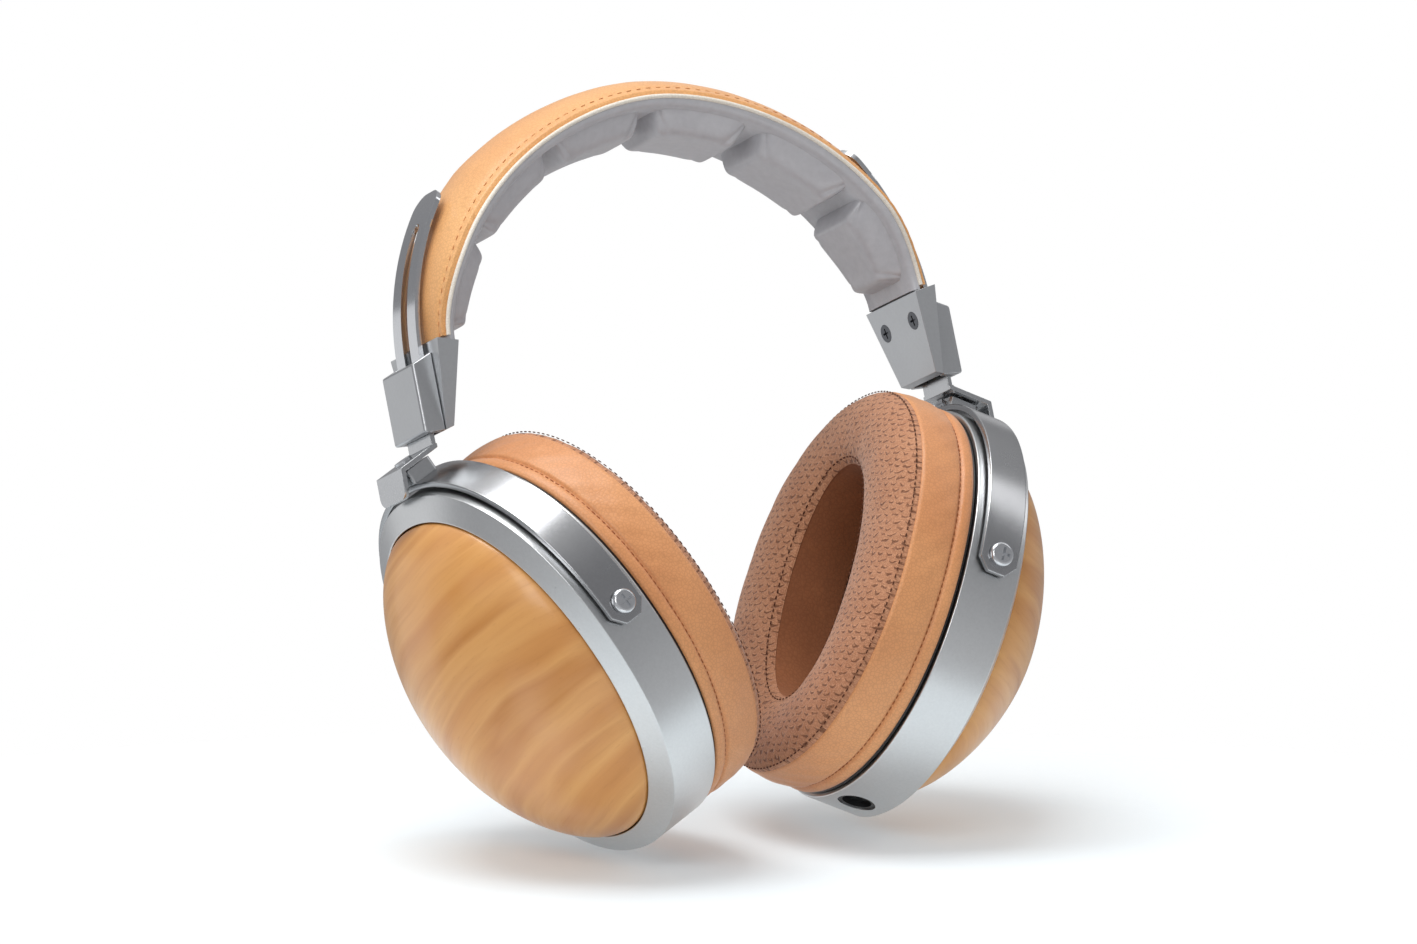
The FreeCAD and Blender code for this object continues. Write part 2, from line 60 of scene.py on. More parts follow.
BAND_X, BAND_Z, BAND_TOP, BAND_E = 66.5, 55.0, 131.3, 1.84
HALF_W, END_HALF_W, END_Z, CROWN = 16.1, 12.4, 77.9, 5.5
LIFT = RIM * SA + RU * CA


def sg(v, p):
    return np.sign(v) * np.abs(v) ** p


def oval(a, b, t):
    return -a * sg(np.cos(t), 2 / EX), b * sg(np.sin(t), 2 / EX)


def cup_pt(side, n, y, u):
    n, y, u = np.broadcast_arrays(np.asarray(n, float), np.asarray(y, float), np.asarray(u, float))
    return np.stack([side * (CUP_X + n * CA + u * SA), y, LIFT - n * SA + u * CA], -1) * 0.001


def even_angles(a, b, count, t0=0.0, t1=2 * math.pi, closed=True):
    """Oval angles at equal arc lengths."""
    t = np.linspace(t0, t1, 6000)
    y, z = oval(a, b, t)
    s = np.concatenate([[0], np.cumsum(np.hypot(np.diff(y), np.diff(z)))])
    k = np.linspace(0, s[-1], count + 1)[:-1] if closed else np.linspace(0, s[-1], count)
    return np.interp(k, s, t), s[-1]


# ---------------------------------------------------------------- mesh helpers
def new_object(name, verts, faces, smooth=True):
    me = bpy.data.meshes.new(name)
    me.from_pydata([tuple(v) for v in verts], [], faces)
    me.update()
    ob = bpy.data.objects.new(name, me)
    bpy.context.scene.collection.objects.link(ob)
    if smooth:
        me.polygons.foreach_set("use_smooth", [True] * len(me.polygons))
    return ob


def grid(name, P, close_i=False, close_j=False, cap_i=False, uv=None, smooth=True):
    """P is (I, J, 3). Quads between neighbours; close_* joins the last row or column to the first; cap_i fills both end rows."""
    I, J = P.shape[:2]
    faces, loops = [], []
    for i in range(I if close_i else I - 1):
        for j in range(J if close_j else J - 1):
            a, b = (i + 1) % I, (j + 1) % J
            faces.append((i * J + j, a * J + j, a * J + b, i * J + b))
            loops += [(i, j), (i + 1, j), (i + 1, j + 1), (i, j + 1)]
    if cap_i:
        faces.append(tuple(range(J)))
        faces.append(tuple(reversed([(I - 1) * J + j for j in range(J)])))
        loops += [(0, j) for j in range(J)] + [(I - 1, j) for j in reversed(range(J))]
    ob = new_object(name, P.reshape(-1, 3), faces, smooth)
    if uv is not None:
        lay = ob.data.uv_layers.new(name="UVMap")
        lay.data.foreach_set("uv", np.array([uv(i, j) for i, j in loops], float).ravel())
    outward(ob)
    return ob


def outward(ob):
    bm = bmesh.new()
    bm.from_mesh(ob.data)
    bmesh.ops.recalc_face_normals(bm, faces=bm.faces)
    bm.to_mesh(ob.data)
    bm.free()


def apply_all(ob):
    bpy.context.view_layer.update()
    dg = bpy.context.evaluated_depsgraph_get()
    me = bpy.data.meshes.new_from_object(ob.evaluated_get(dg), preserve_all_data_layers=True, depsgraph=dg)
    old = ob.data
    ob.modifiers.clear()
    ob.data = me
    bpy.data.meshes.remove(old)
    return ob


def bevel(ob, width, segments=3, angle=28, apply=True):
    m = ob.modifiers.new("bevel", "BEVEL")
    m.width, m.segments, m.limit_method, m.angle_limit = width * 0.001, segments, "ANGLE", math.radians(angle)
    m.use_clamp_overlap = True
    return apply_all(ob) if apply else ob


def subdivide(ob, levels=1):
    m = ob.modifiers.new("subsurf", "SUBSURF")
    m.levels = m.render_levels = levels
    return apply_all(ob)


def auto_smooth(ob, angle=30):
    """Smooth shading with crisp edges where faces meet at more than the angle."""
    me = ob.data
    bm = bmesh.new()
    bm.from_mesh(me)
    for f in bm.faces:
        f.smooth = True
    for e in bm.edges:
        e.smooth = len(e.link_faces) == 2 and e.calc_face_angle(0) < math.radians(angle)
    bm.to_mesh(me)
    bm.free()


def weighted(ob):
    m = ob.modifiers.new("weighted", "WEIGHTED_NORMAL")
    m.mode, m.weight, m.keep_sharp = "FACE_AREA", 50, True
    return apply_all(ob)


def rounded(points, radii, seg=5):
    """Rounds the corners of a closed 2-D outline."""
    out = []
    n = len(points)
    for i, (p, r) in enumerate(zip(points, radii)):
        p = Vector(p)
        a, b = Vector(points[i - 1]) - p, Vector(points[(i + 1) % n]) - p
        if r == 0:
            out.append(tuple(p))
            continue
        half = a.angle(b) / 2
        d = min(r / math.tan(half), a.length * 0.45, b.length * 0.45)
        pa, pb = p + a.normalized() * d, p + b.normalized() * d
        for k in range(seg + 1):
            t = k / seg
            out.append(tuple((1 - t) ** 2 * pa + 2 * t * (1 - t) * p + t * t * pb))
    return out


def join(name, obs):
    verts, faces = [], []
    for o in obs:
        k = len(verts)
        verts += [v.co[:] for v in o.data.vertices]
        faces += [tuple(k + i for i in p.vertices) for p in o.data.polygons]
    for o in obs:
        me = o.data
        bpy.data.objects.remove(o)
        bpy.data.meshes.remove(me)
    return new_object(name, verts, faces)


def softened(node, name, width=0.3, segments=3, angle=32):
    """A copy of a CAD node's mesh with its sharp edges rounded."""
    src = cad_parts[node]
    me = src.data.copy()
    me.name = name
    ob = bpy.data.objects.new(name, me)
    bpy.context.scene.collection.objects.link(ob)
    me.materials.clear()
    bm = bmesh.new()
    bm.from_mesh(me)
    bmesh.ops.remove_doubles(bm, verts=bm.verts, dist=2e-6)
    bmesh.ops.dissolve_limit(bm, angle_limit=math.radians(0.8), verts=bm.verts, edges=bm.edges)
    for f in bm.faces:
        f.smooth = True
    bm.to_mesh(me)
    bm.free()
    if me.has_custom_normals:
        me.attributes.remove(me.attributes["custom_normal"]) if "custom_normal" in me.attributes else None
    bevel(ob, width, segments, angle)
    auto_smooth(ob, 30)
    weighted(ob)
    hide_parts(node)
    return ob


# ---------------------------------------------------------------- material helpers
def srgb(r, g, b):
    return tuple((c / 255 / 12.92 if c / 255 <= 0.04045 else ((c / 255 + 0.055) / 1.055) ** 2.4) for c in (r, g, b)) + (1.0,)


class Mat:
    def __init__(self, name):
        self.m = bpy.data.materials.new(name)
        self.m.use_nodes = True
        self.t = self.m.node_tree
        self.b = self.t.nodes["Principled BSDF"]
        self.co = self.n("ShaderNodeTexCoord")

    def n(self, kind, **props):
        nd = self.t.nodes.new(kind)
        for k, v in props.items():
            if k.startswith("in_"):
                key = k[3:]
                sock = nd.inputs[int(key)] if key.isdigit() else nd.inputs[key.replace("_", " ")]
                sock.default_value = v
            else:
                setattr(nd, k, v)
        return nd

    def l(self, a, b):
        self.t.links.new(a, b)
        return self

    def set(self, **kw):
        for k, v in kw.items():
            self.b.inputs[k.replace("_", " ")].default_value = v
        return self

    def mapped(self, scale=(1, 1, 1), rot=(0, 0, 0), loc=(0, 0, 0), coord="Object", src=None):
        mp = self.n("ShaderNodeMapping")
        mp.inputs["Scale"].default_value = scale
        mp.inputs["Rotation"].default_value = rot
        mp.inputs["Location"].default_value = loc
        self.l(src or self.co.outputs[coord], mp.inputs["Vector"])
        return mp.outputs["Vector"]

    def noise(self, vec, scale, detail=4.0, rough=0.55, dist=0.0):
        nd = self.n("ShaderNodeTexNoise")
        nd.inputs["Scale"].default_value = scale
        nd.inputs["Detail"].default_value = detail
        nd.inputs["Roughness"].default_value = rough
        nd.inputs["Distortion"].default_value = dist
        self.l(vec, nd.inputs["Vector"])
        return nd.outputs["Fac"]

    def ramp(self, fac, stops, interp="LINEAR"):
        nd = self.n("ShaderNodeValToRGB")
        nd.color_ramp.interpolation = interp
        els = nd.color_ramp.elements
        while len(els) < len(stops):
            els.new(0.5)
        for e, (p, c) in zip(els, stops):
            e.position = p
            e.color = c if isinstance(c, tuple) else (c, c, c, 1)
        self.l(fac, nd.inputs["Fac"])
        return nd.outputs["Color"]

    def mix(self, fac, a, b, blend="MIX"):
        nd = self.n("ShaderNodeMix")
        nd.data_type = "RGBA"
        nd.blend_type = blend
        for sock, v in ((nd.inputs[0], fac), (nd.inputs[6], a), (nd.inputs[7], b)):
            if isinstance(v, (int, float)):
                sock.default_value = v if sock.type == "VALUE" else (v, v, v, 1)
            elif isinstance(v, tuple):
                sock.default_value = v
            else:
                self.l(v, sock)
        return nd.outputs[2]

    def math(self, op, a, b=0.0, c=0.0, clamp=False):
        nd = self.n("ShaderNodeMath")
        nd.operation = op
        nd.use_clamp = clamp
        for sock, v in zip(nd.inputs, (a, b, c)):
            if isinstance(v, (int, float)):
                sock.default_value = v
            else:
                self.l(v, sock)
        return nd.outputs[0]

    def range(self, v, a, b, c, d):
        nd = self.n("ShaderNodeMapRange")
        self.l(v, nd.inputs[0])
        for i, x in enumerate((a, b, c, d)):
            nd.inputs[i + 1].default_value = x
        return nd.outputs[0]

    def bump(self, height, strength=0.3, distance=0.0002, normal=None):
        nd = self.n("ShaderNodeBump")
        nd.inputs["Strength"].default_value = strength
        nd.inputs["Distance"].default_value = distance
        self.l(height, nd.inputs["Height"])
        if normal is not None:
            self.l(normal, nd.inputs["Normal"])
        return nd.outputs["Normal"]

    def out(self, color=None, rough=None, normal=None):
        if color is not None:
            self.l(color, self.b.inputs["Base Color"])
        if rough is not None:
            self.l(rough, self.b.inputs["Roughness"])
        if normal is not None:
            self.l(normal, self.b.inputs["Normal"])
        return self.m


def wood_material(name, side):
    """Broad curved bands of darker figure cross the dome, over fine grain that follows them."""
    m = Mat(name)
    uax = Vector((side * SA, 0, CA))
    nax = Vector((side * CA, 0, -SA))
    yax = Vector((0, -1, 0))
    b = (yax * 0.995 + uax * 0.08).normalized()     # along the bands
    d = nax.cross(b).normalized()                   # across them
    centre = Vector((side * (CUP_X + 20 * CA), 0, LIFT - 20 * SA)) * 0.001
    rel = m.n("ShaderNodeVectorMath", operation="SUBTRACT")
    m.l(m.co.outputs["Object"], rel.inputs[0])
    rel.inputs[1].default_value = centre
    comb = m.n("ShaderNodeCombineXYZ")
    for k, ax in enumerate((b, d, nax)):
        dot = m.n("ShaderNodeVectorMath", operation="DOT_PRODUCT")
        m.l(rel.outputs[0], dot.inputs[0])
        dot.inputs[1].default_value = ax
        m.l(dot.outputs["Value"], comb.inputs[k])
    v = comb.outputs[0]
    sep = m.n("ShaderNodeSeparateXYZ")
    m.l(v, sep.inputs[0])
    # bend the bands into arcs and let them wander
    off = m.math("SUBTRACT", sep.outputs[0], 0.025)
    arc = m.math("MULTIPLY", m.math("MULTIPLY", off, off), 5.5 * -side)
    wander = m.range(m.noise(v, 12, 2, 0.5), 0.3, 0.7, -0.004, 0.004)
    across = m.math("ADD", m.math("ADD", sep.outputs[1], arc), wander)
    flow = m.n("ShaderNodeCombineXYZ")
    m.l(sep.outputs[0], flow.inputs[0])
    m.l(across, flow.inputs[1])
    m.l(sep.outputs[2], flow.inputs[2])
    f = flow.outputs[0]
    broad = m.noise(m.mapped(scale=(7, 92, 12), src=f), 1.0, 2, 0.5, 0.2)
    mid = m.noise(m.mapped(scale=(11, 210, 24), src=f), 1.0, 3, 0.55, 0.25)
    fine = m.noise(m.mapped(scale=(60, 1300, 90), src=f), 1.0, 3, 0.6)
    pore = m.noise(m.mapped(scale=(260, 2600, 700), src=f), 1.0, 2, 0.5)
    col = m.ramp(broad, [(0.28, srgb(184, 118, 54)), (0.42, srgb(208, 144, 76)), (0.54, srgb(221, 162, 94)), (0.64, srgb(197, 132, 64)), (0.78, srgb(224, 168, 102))])
    col = m.mix(m.range(mid, 0.50, 0.75, 0, 0.30), col, srgb(170, 100, 44))
    col = m.mix(m.range(fine, 0.50, 0.75, 0, 0.12), col, srgb(160, 96, 46))
    col = m.mix(m.range(pore, 0.64, 0.8, 0, 0.22), col, srgb(150, 88, 40))
    blotch = m.noise(m.mapped(scale=(30, 30, 30), src=v), 1.0, 2)
    col = m.mix(m.range(blotch, 0.48, 0.75, 0, 0.5), col, srgb(222, 166, 124))
    m.set(Coat_Weight=0.45, Coat_Roughness=0.2, Specular_IOR_Level=0.4)
    rough = m.range(fine, 0.3, 0.7, 0.36, 0.46)
    return m.out(col, rough, m.bump(fine, 0.05, 0.00005))


def metal(name, base, rough, brush=None, brush_amount=0.10, grain=0.02, metallic=1.0, aniso=0.0):
    m = Mat(name)
    m.set(Metallic=metallic, Anisotropic=aniso)
    v = m.mapped(scale=brush or (1, 1, 1))
    streak = m.noise(v, 1400 if brush is None else 1.0, 3, 0.6)
    smudge = m.noise(m.mapped(), 55, 3, 0.55)
    col = m.mix(m.range(streak, 0.3, 0.7, 0, 1), tuple(c * (1 - brush_amount) for c in base[:3]) + (1,), tuple(min(1, c * (1 + brush_amount)) for c in base[:3]) + (1,))
    r = m.math("ADD", m.range(streak, 0.3, 0.7, rough - 0.015, rough + 0.015), m.range(smudge, 0.35, 0.7, -0.015, 0.03))
    return m.out(col, r, m.bump(m.noise(m.mapped(), 7000, 2), grain * 6, 0.000008) if grain > 0.0115 else None)


def leather(name, light, dark, scale=1.0, rough=0.46):
    m = Mat(name)
    v = m.mapped()
    vor = m.n("ShaderNodeTexVoronoi", feature="DISTANCE_TO_EDGE")
    vor.inputs["Scale"].default_value = 900 / scale
    m.l(v, vor.inputs["Vector"])
    cells = m.range(vor.outputs["Distance"], 0.0, 0.35, 0, 1)
    soft = m.noise(v, 60, 4, 0.6)
    tone = m.noise(v, 22, 3, 0.5)
    col = m.mix(m.range(tone, 0.35, 0.68, 0, 1), dark, light)
    col = m.mix(m.range(vor.outputs["Distance"], 0.0, 0.16, 0.30, 0.0), col, tuple(c * 0.55 for c in dark[:3]) + (1,))
    wear = m.noise(v, 260, 4, 0.6)
    col = m.mix(m.range(wear, 0.55, 0.8, 0, 0.18), col, tuple(min(1, c * 1.35) for c in light[:3]) + (1,))
    nrm = m.bump(cells, 0.22, 0.00012)
    nrm = m.bump(soft, 0.18, 0.0006, nrm)
    m.set(Specular_IOR_Level=0.42, Sheen_Weight=0.12, Sheen_Roughness=0.5)
    return m.out(col, m.range(soft, 0.3, 0.7, rough - 0.06, rough + 0.08), nrm)


def fabric_material(name):
    """Knit with rows of short staggered dark stitches; UV is in millimetres."""
    m = Mat(name)
    sep = m.n("ShaderNodeSeparateXYZ")
    wob = m.noise(m.mapped(coord="UV"), 0.35, 2)
    m.l(m.co.outputs["UV"], sep.inputs[0])
    x = m.math("ADD", sep.outputs[0], m.range(wob, 0.3, 0.7, -0.6, 0.6))
    y = m.math("ADD", sep.outputs[1], m.range(wob, 0.3, 0.7, 0.45, -0.45))
    ca, sa = math.cos(0.14), math.sin(0.14)
    xr = m.math("ADD", m.math("MULTIPLY", x, ca), m.math("MULTIPLY", y, sa))
    yr = m.math("SUBTRACT", m.math("MULTIPLY", y, ca), m.math("MULTIPLY", x, sa))
    PX, PY = 2.9, 1.65
    row = m.math("DIVIDE", yr, PY)
    par = m.math("MULTIPLY", m.math("FLOORED_MODULO", m.math("FLOOR", row), 2.0), PX / 2)
    fx = m.math("ABSOLUTE", m.math("SUBTRACT", m.math("FRACT", m.math("DIVIDE", m.math("ADD", xr, par), PX)), 0.5))
    # each dash sags at its middle
    sag = m.math("MULTIPLY", m.math("MULTIPLY", fx, fx), 2.6)
    fy = m.math("ABSOLUTE", m.math("SUBTRACT", m.math("SUBTRACT", m.math("FRACT", row), 0.42), sag))
    dash = m.math("MULTIPLY", m.range(fx, 0.26, 0.36, 1, 0), m.range(fy, 0.09, 0.20, 1, 0))
    lo = m.noise(m.mapped(coord="UV"), 0.9, 2)
    dash = m.math("MULTIPLY", dash, m.range(lo, 0.3, 0.55, 0.45, 1.0))
    below = m.math("SUBTRACT", m.math("FRACT", row), 0.42)
    puff = m.math("SUBTRACT", 1.0, m.math("MULTIPLY", m.math("ABSOLUTE", m.math("SUBTRACT", m.math("FRACT", m.math("ADD", row, 0.08)), 0.5)), 1.6))
    loops = m.n("ShaderNodeTexVoronoi")
    loops.inputs["Scale"].default_value = 3.4
    m.l(m.co.outputs["UV"], loops.inputs["Vector"])
    fuzz = m.noise(m.mapped(coord="UV"), 7.0, 3, 0.7)
    tone = m.noise(m.mapped(coord="UV"), 0.12, 2)
    col = m.mix(m.range(loops.outputs["Distance"], 0.1, 0.6, 0, 1), srgb(216, 162, 126), srgb(178, 124, 92))
    col = m.mix(m.range(fuzz, 0.35, 0.7, 0, 0.45), col, srgb(156, 104, 78))
    col = m.mix(m.range(tone, 0.35, 0.7, 0, 0.25), col, srgb(216, 164, 128))
    col = m.mix(m.math("MULTIPLY", dash, 0.75), col, srgb(92, 54, 36))
    h = m.math("MULTIPLY", m.range(loops.outputs["Distance"], 0.0, 0.7, 1, 0), 0.25)
    h = m.math("ADD", h, m.math("MULTIPLY", fuzz, 0.25))
    h = m.math("ADD", h, m.math("MULTIPLY", puff, 0.55))
    h = m.math("SUBTRACT", h, m.math("MULTIPLY", dash, 0.8))
    m.set(Sheen_Weight=0.25, Sheen_Roughness=0.45, Specular_IOR_Level=0.2, Roughness=0.9)
    return m.out(col, None, m.bump(h, 0.6, 0.0004))


def simple(name, light, dark, rough=0.5, scale=300, bump=0.15, dist=0.0001, spec=0.5, metallic=0.0, sheen=0.0, coat=0.0):
    m = Mat(name)
    v = m.mapped()
    a = m.noise(v, scale, 4, 0.6)
    b = m.noise(v, scale / 14, 3, 0.5)
    col = m.mix(m.range(a, 0.3, 0.7, 0, 1), dark, light)
    col = m.mix(m.range(b, 0.4, 0.7, 0, 0.25), col, dark)
    m.set(Specular_IOR_Level=spec, Metallic=metallic, Sheen_Weight=sheen, Coat_Weight=coat)
    return m.out(col, m.range(b, 0.3, 0.7, rough - 0.04, rough + 0.05), m.bump(a, bump, dist))


MAT = {
    "alu": metal("satin_aluminium", srgb(208, 210, 211), 0.30, grain=0.012, brush_amount=0.03),
    "strap": metal("brushed_strap", srgb(170, 171, 173), 0.24, grain=0.01, brush_amount=0.02),
    "steel": metal("brushed_steel", srgb(188, 190, 192), 0.25, grain=0.01, brush_amount=0.04),
    "blade": metal("polished_blade", srgb(206, 208, 211), 0.14, grain=0.006, brush_amount=0.03),
    "housing": metal("matte_silver", srgb(186, 188, 190), 0.36, grain=0.02, brush_amount=0.03),
    "dark_screw": metal("dark_screw", srgb(92, 94, 98), 0.3, grain=0.01, brush_amount=0.04),
    "screw": metal("screw_steel", srgb(205, 207, 210), 0.22, grain=0.01, brush_amount=0.04),
    "spring": metal("blued_spring_steel", srgb(96, 99, 104), 0.3, brush=(500, 60, 500), brush_amount=0.08),
    "pad_leather": leather("pad_leather", srgb(224, 160, 107), srgb(207, 140, 90), 0.8, 0.42),
    "inner_leather": leather("inner_leather", srgb(176, 112, 72), srgb(150, 92, 58), 1.0, 0.5),
    "band_leather": leather("headband_leather", srgb(232, 176, 116), srgb(216, 154, 96), 0.8, 0.40),
    "piping": leather("piping_leather", srgb(238, 232, 220), srgb(222, 214, 200), 0.6, 0.5),
    "fabric": fabric_material("pad_fabric"),
    "silicone": simple("grey_silicone", srgb(186, 186, 190), srgb(176, 176, 180), 0.34, 500, 0.05, 0.00004, 0.6, coat=0.15),
    "thread": simple("dark_thread", srgb(104, 60, 38), srgb(70, 38, 24), 0.75, 4000, 0.4, 0.00005, 0.3),
    "thread_tan": simple("tan_thread", srgb(176, 108, 66), srgb(150, 88, 52), 0.7, 4000, 0.4, 0.00005, 0.3),
    "thread_band": simple("band_thread", srgb(206, 142, 90), srgb(190, 126, 76), 0.6, 4000, 0.3, 0.00005, 0.3),
    "black": simple("black_plastic", srgb(30, 31, 33), srgb(20, 21, 22), 0.42, 700, 0.12, 0.00005, 0.5),
    "cloth": simple("black_cloth", srgb(44, 42, 42), srgb(24, 23, 23), 0.9, 2600, 0.6, 0.0001, 0.2, sheen=0.3),
    "felt": simple("felt", srgb(58, 58, 60), srgb(40, 40, 42), 0.95, 1800, 0.6, 0.0002, 0.15, sheen=0.4),
    "foam": simple("foam", srgb(92, 84, 76), srgb(66, 60, 54), 0.95, 1500, 0.6, 0.0003, 0.15),
    "copper": metal("coil_copper", srgb(190, 120, 78), 0.3, brush=(4000, 300, 300), brush_amount=0.1),
    "magnet": metal("magnet_plate", srgb(150, 152, 156), 0.32),
    "film": simple("diaphragm_film", srgb(190, 178, 150), srgb(170, 158, 132), 0.25, 600, 0.1, 0.00005, 0.6),
}


def give(ob, mat):
    ob.data.materials.clear()
    ob.data.materials.append(mat)
    return ob


CAD_MATS = {
    "cup_ring": "alu", "driver_baffle": "black", "baffle_screws": "screw", "driver_basket": "black", "driver_magnet": "magnet",
    "voice_coil": "copper", "driver_diaphragm": "film", "damping_felt": "felt", "cable_socket": "black", "ear_pad_mount_ring": "black",
    "ear_pad_foam": "foam", "ear_pad_leather": "pad_leather", "ear_pad_fabric": "cloth", "dust_cloth": "cloth", "yoke_arm": "steel",
    "swivel_knuckle": "steel", "knuckle_screw": "screw", "yoke_pivot_screws": "screw", "pivot_washers": "black", "swivel_pin": "screw",
    "hinge_bracket": "steel", "blade_rivets": "screw", "slider_blade": "blade", "slider_housing": "housing", "slider_cover": "housing",
    "housing_screws": "dark_screw", "detent_spring": "spring", "headband_spring_strip": "spring", "headband_leather_cover": "band_leather",
    "headband_edge_piping": "piping", "headband_comfort_pad": "silicone", "wood_cup": "alu"}
WOOD = {-1: wood_material("figured_wood_right", -1), 1: wood_material("figured_wood_left", 1)}
for node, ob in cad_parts.items():
    key = node if node in CAD_MATS else node.split("_", 1)[1]
    mat = MAT[CAD_MATS[key]] if key != "wood_cup" else WOOD[1 if node.startswith("left") else -1]
    if not ob.data.materials:
        ob.data.materials.append(mat)
    for s in ob.material_slots:
        s.material = mat


def side_name(side):
    return "left" if side > 0 else "right"


N_OVAL = 288
T_OVAL, _ = even_angles(RY, RU, N_OVAL)


def lathe(name, side, prof, closed=True, uv=None, T=T_OVAL):
    """Sweeps a profile of (half width, half height, n) round the oval."""
    P = np.zeros((len(prof), len(T), 3))
    for k, (a, b, n) in enumerate(prof):
        y, u = oval(a, b, T)
        P[k] = cup_pt(side, n, y, u)
    return grid(name, P, close_i=closed, close_j=True, uv=uv)


# ---------------------------------------------------------------- cup rings
def build_ring(side):
    s = side_name(side)
    line = rounded([(WALL, -RIM), (0, -RIM), (0, RIM), (BEV, RT), (BEV, 3.0), (WALL, 3.0)], [0.2, 0.4, 0.32, 0.35, 0, 0])
    ob = lathe(s + "_ring_shell", side, [(RY - o, RU - o, n) for o, n in line])
    # socket hole through the bottom wall
    ring = []
    for k in range(48):
        a = 2 * math.pi * k / 48
        ring.append((4.65 * math.cos(a) - 0.5, 4.65 * math.sin(a)))
    P = np.array([[cup_pt(side, n, y, u) for n, y in ring] for u in (-RU - 3, -RU + 7)])
    cut = grid(s + "_socket_cutter", P, close_j=True, cap_i=True, smooth=False)
    m = ob.modifiers.new("hole", "BOOLEAN")
    m.operation, m.object, m.solver = "DIFFERENCE", cut, "EXACT"
    apply_all(ob)
    me = cut.data
    bpy.data.objects.remove(cut)
    bpy.data.meshes.remove(me)
    auto_smooth(ob, 26)
    weighted(ob)
    give(ob, MAT["alu"])
    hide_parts(s + "_cup_ring")
    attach(ob, s + "_cup")


# ---------------------------------------------------------------- wood domes
def build_wood(side):
    s = side_name(side)
    a, b = RY - BEV - 0.35, RU - BEV - 0.35
    q, e = DOME_Q, DOME_E
    prof = [(a, b, RT - 2.5), (a, b, RT - 0.3)]
    for sc in np.cos(np.linspace(0.0, 1, 64) ** 0.9 * math.pi / 2):
        f = ((sc * sc + e * e) ** (q / 2) - e ** q) / ((1 + e * e) ** (q / 2) - e ** q)
        prof.append((a * max(sc, 1e-4), b * max(sc, 1e-4), RT - 0.1 + (DOME_H + 0.05) * max(0.0, 1 - f) ** (1 / q)))
    P = np.zeros((len(prof), N_OVAL, 3))
    for k, (aa, bb, n) in enumerate(prof):
        y, u = oval(aa, bb, T_OVAL)
        P[k] = cup_pt(side, n, y, u)
    ob = grid(s + "_wood_dome", P, close_j=True)
    bm = bmesh.new()
    bm.from_mesh(ob.data)
    bmesh.ops.remove_doubles(bm, verts=bm.verts, dist=2e-5)
    bmesh.ops.recalc_face_normals(bm, faces=bm.faces)
    bm.to_mesh(ob.data)
    bm.free()
    give(ob, WOOD[side])
    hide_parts(s + "_wood_cup")
    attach(ob, s + "_cup")


# ---------------------------------------------------------------- ear pads
def lam(f, n):
    return (PAD_A - f * (PAD_A - OPEN_A), PAD_B - f * (PAD_B - OPEN_B), n)


def stitches(name, pts, width, height, length, mat, sink=0.0):
    """One mesh of small rounded stitches; pts are (centre, tangent, outward normal)."""
    verts, faces = [], []
    for c, t, nrm in pts:
        c, t, nrm = Vector(c), Vector(t).normalized(), Vector(nrm).normalized()
        w = nrm.cross(t).normalized()
        k0 = len(verts)
        rings = [(-0.5, 0.25), (-0.36, 0.82), (0.0, 1.0), (0.36, 0.82), (0.5, 0.25)]
        for f, r in rings:
            for j in range(6):
                a = 2 * math.pi * j / 6
                verts.append(c + t * (f * length) + w * (math.cos(a) * width * r) + nrm * (math.sin(a) * height * r - sink))
        for i in range(len(rings) - 1):
            for j in range(6):
                faces.append((k0 + i * 6 + j, k0 + i * 6 + (j + 1) % 6, k0 + (i + 1) * 6 + (j + 1) % 6, k0 + (i + 1) * 6 + j))
        faces.append(tuple(k0 + j for j in reversed(range(6))))
        faces.append(tuple(k0 + 24 + j for j in range(6)))
    ob = new_object(name, verts, faces)
    outward(ob)
    return give(ob, mat)


def oval_stitches(name, side, a, b, n, pitch, normal_nu, width, height, length, mat, phase=0.0):
    """Stitches along the oval (a, b) at height n; normal_nu is the surface normal as (outward radial, n) parts."""
    count = int(even_angles(a, b, 10)[1] / pitch)
    T, _ = even_angles(a, b, count)
    out = []
    for t in T:
        y0, u0 = oval(a, b, np.array([t - 1e-3, t, t + 1e-3]))
        p = cup_pt(side, n, y0, u0)
        tan = p[2] - p[0]
        ty, tu = y0[2] - y0[0], u0[2] - u0[0]
        l = math.hypot(ty, tu)
        ry_, ru_ = -tu / l, ty / l
        if ry_ * y0[1] + ru_ * u0[1] < 0:
            ry_, ru_ = -ry_, -ru_
        base = cup_pt(side, n, y0[1], u0[1])
        nr = cup_pt(side, n + normal_nu[1], y0[1] + ry_ * normal_nu[0], u0[1] + ru_ * normal_nu[0]) - base
        out.append((p[1], tan, nr))
    return stitches(name, out, width * 0.001, height * 0.001, length * 0.001, mat)


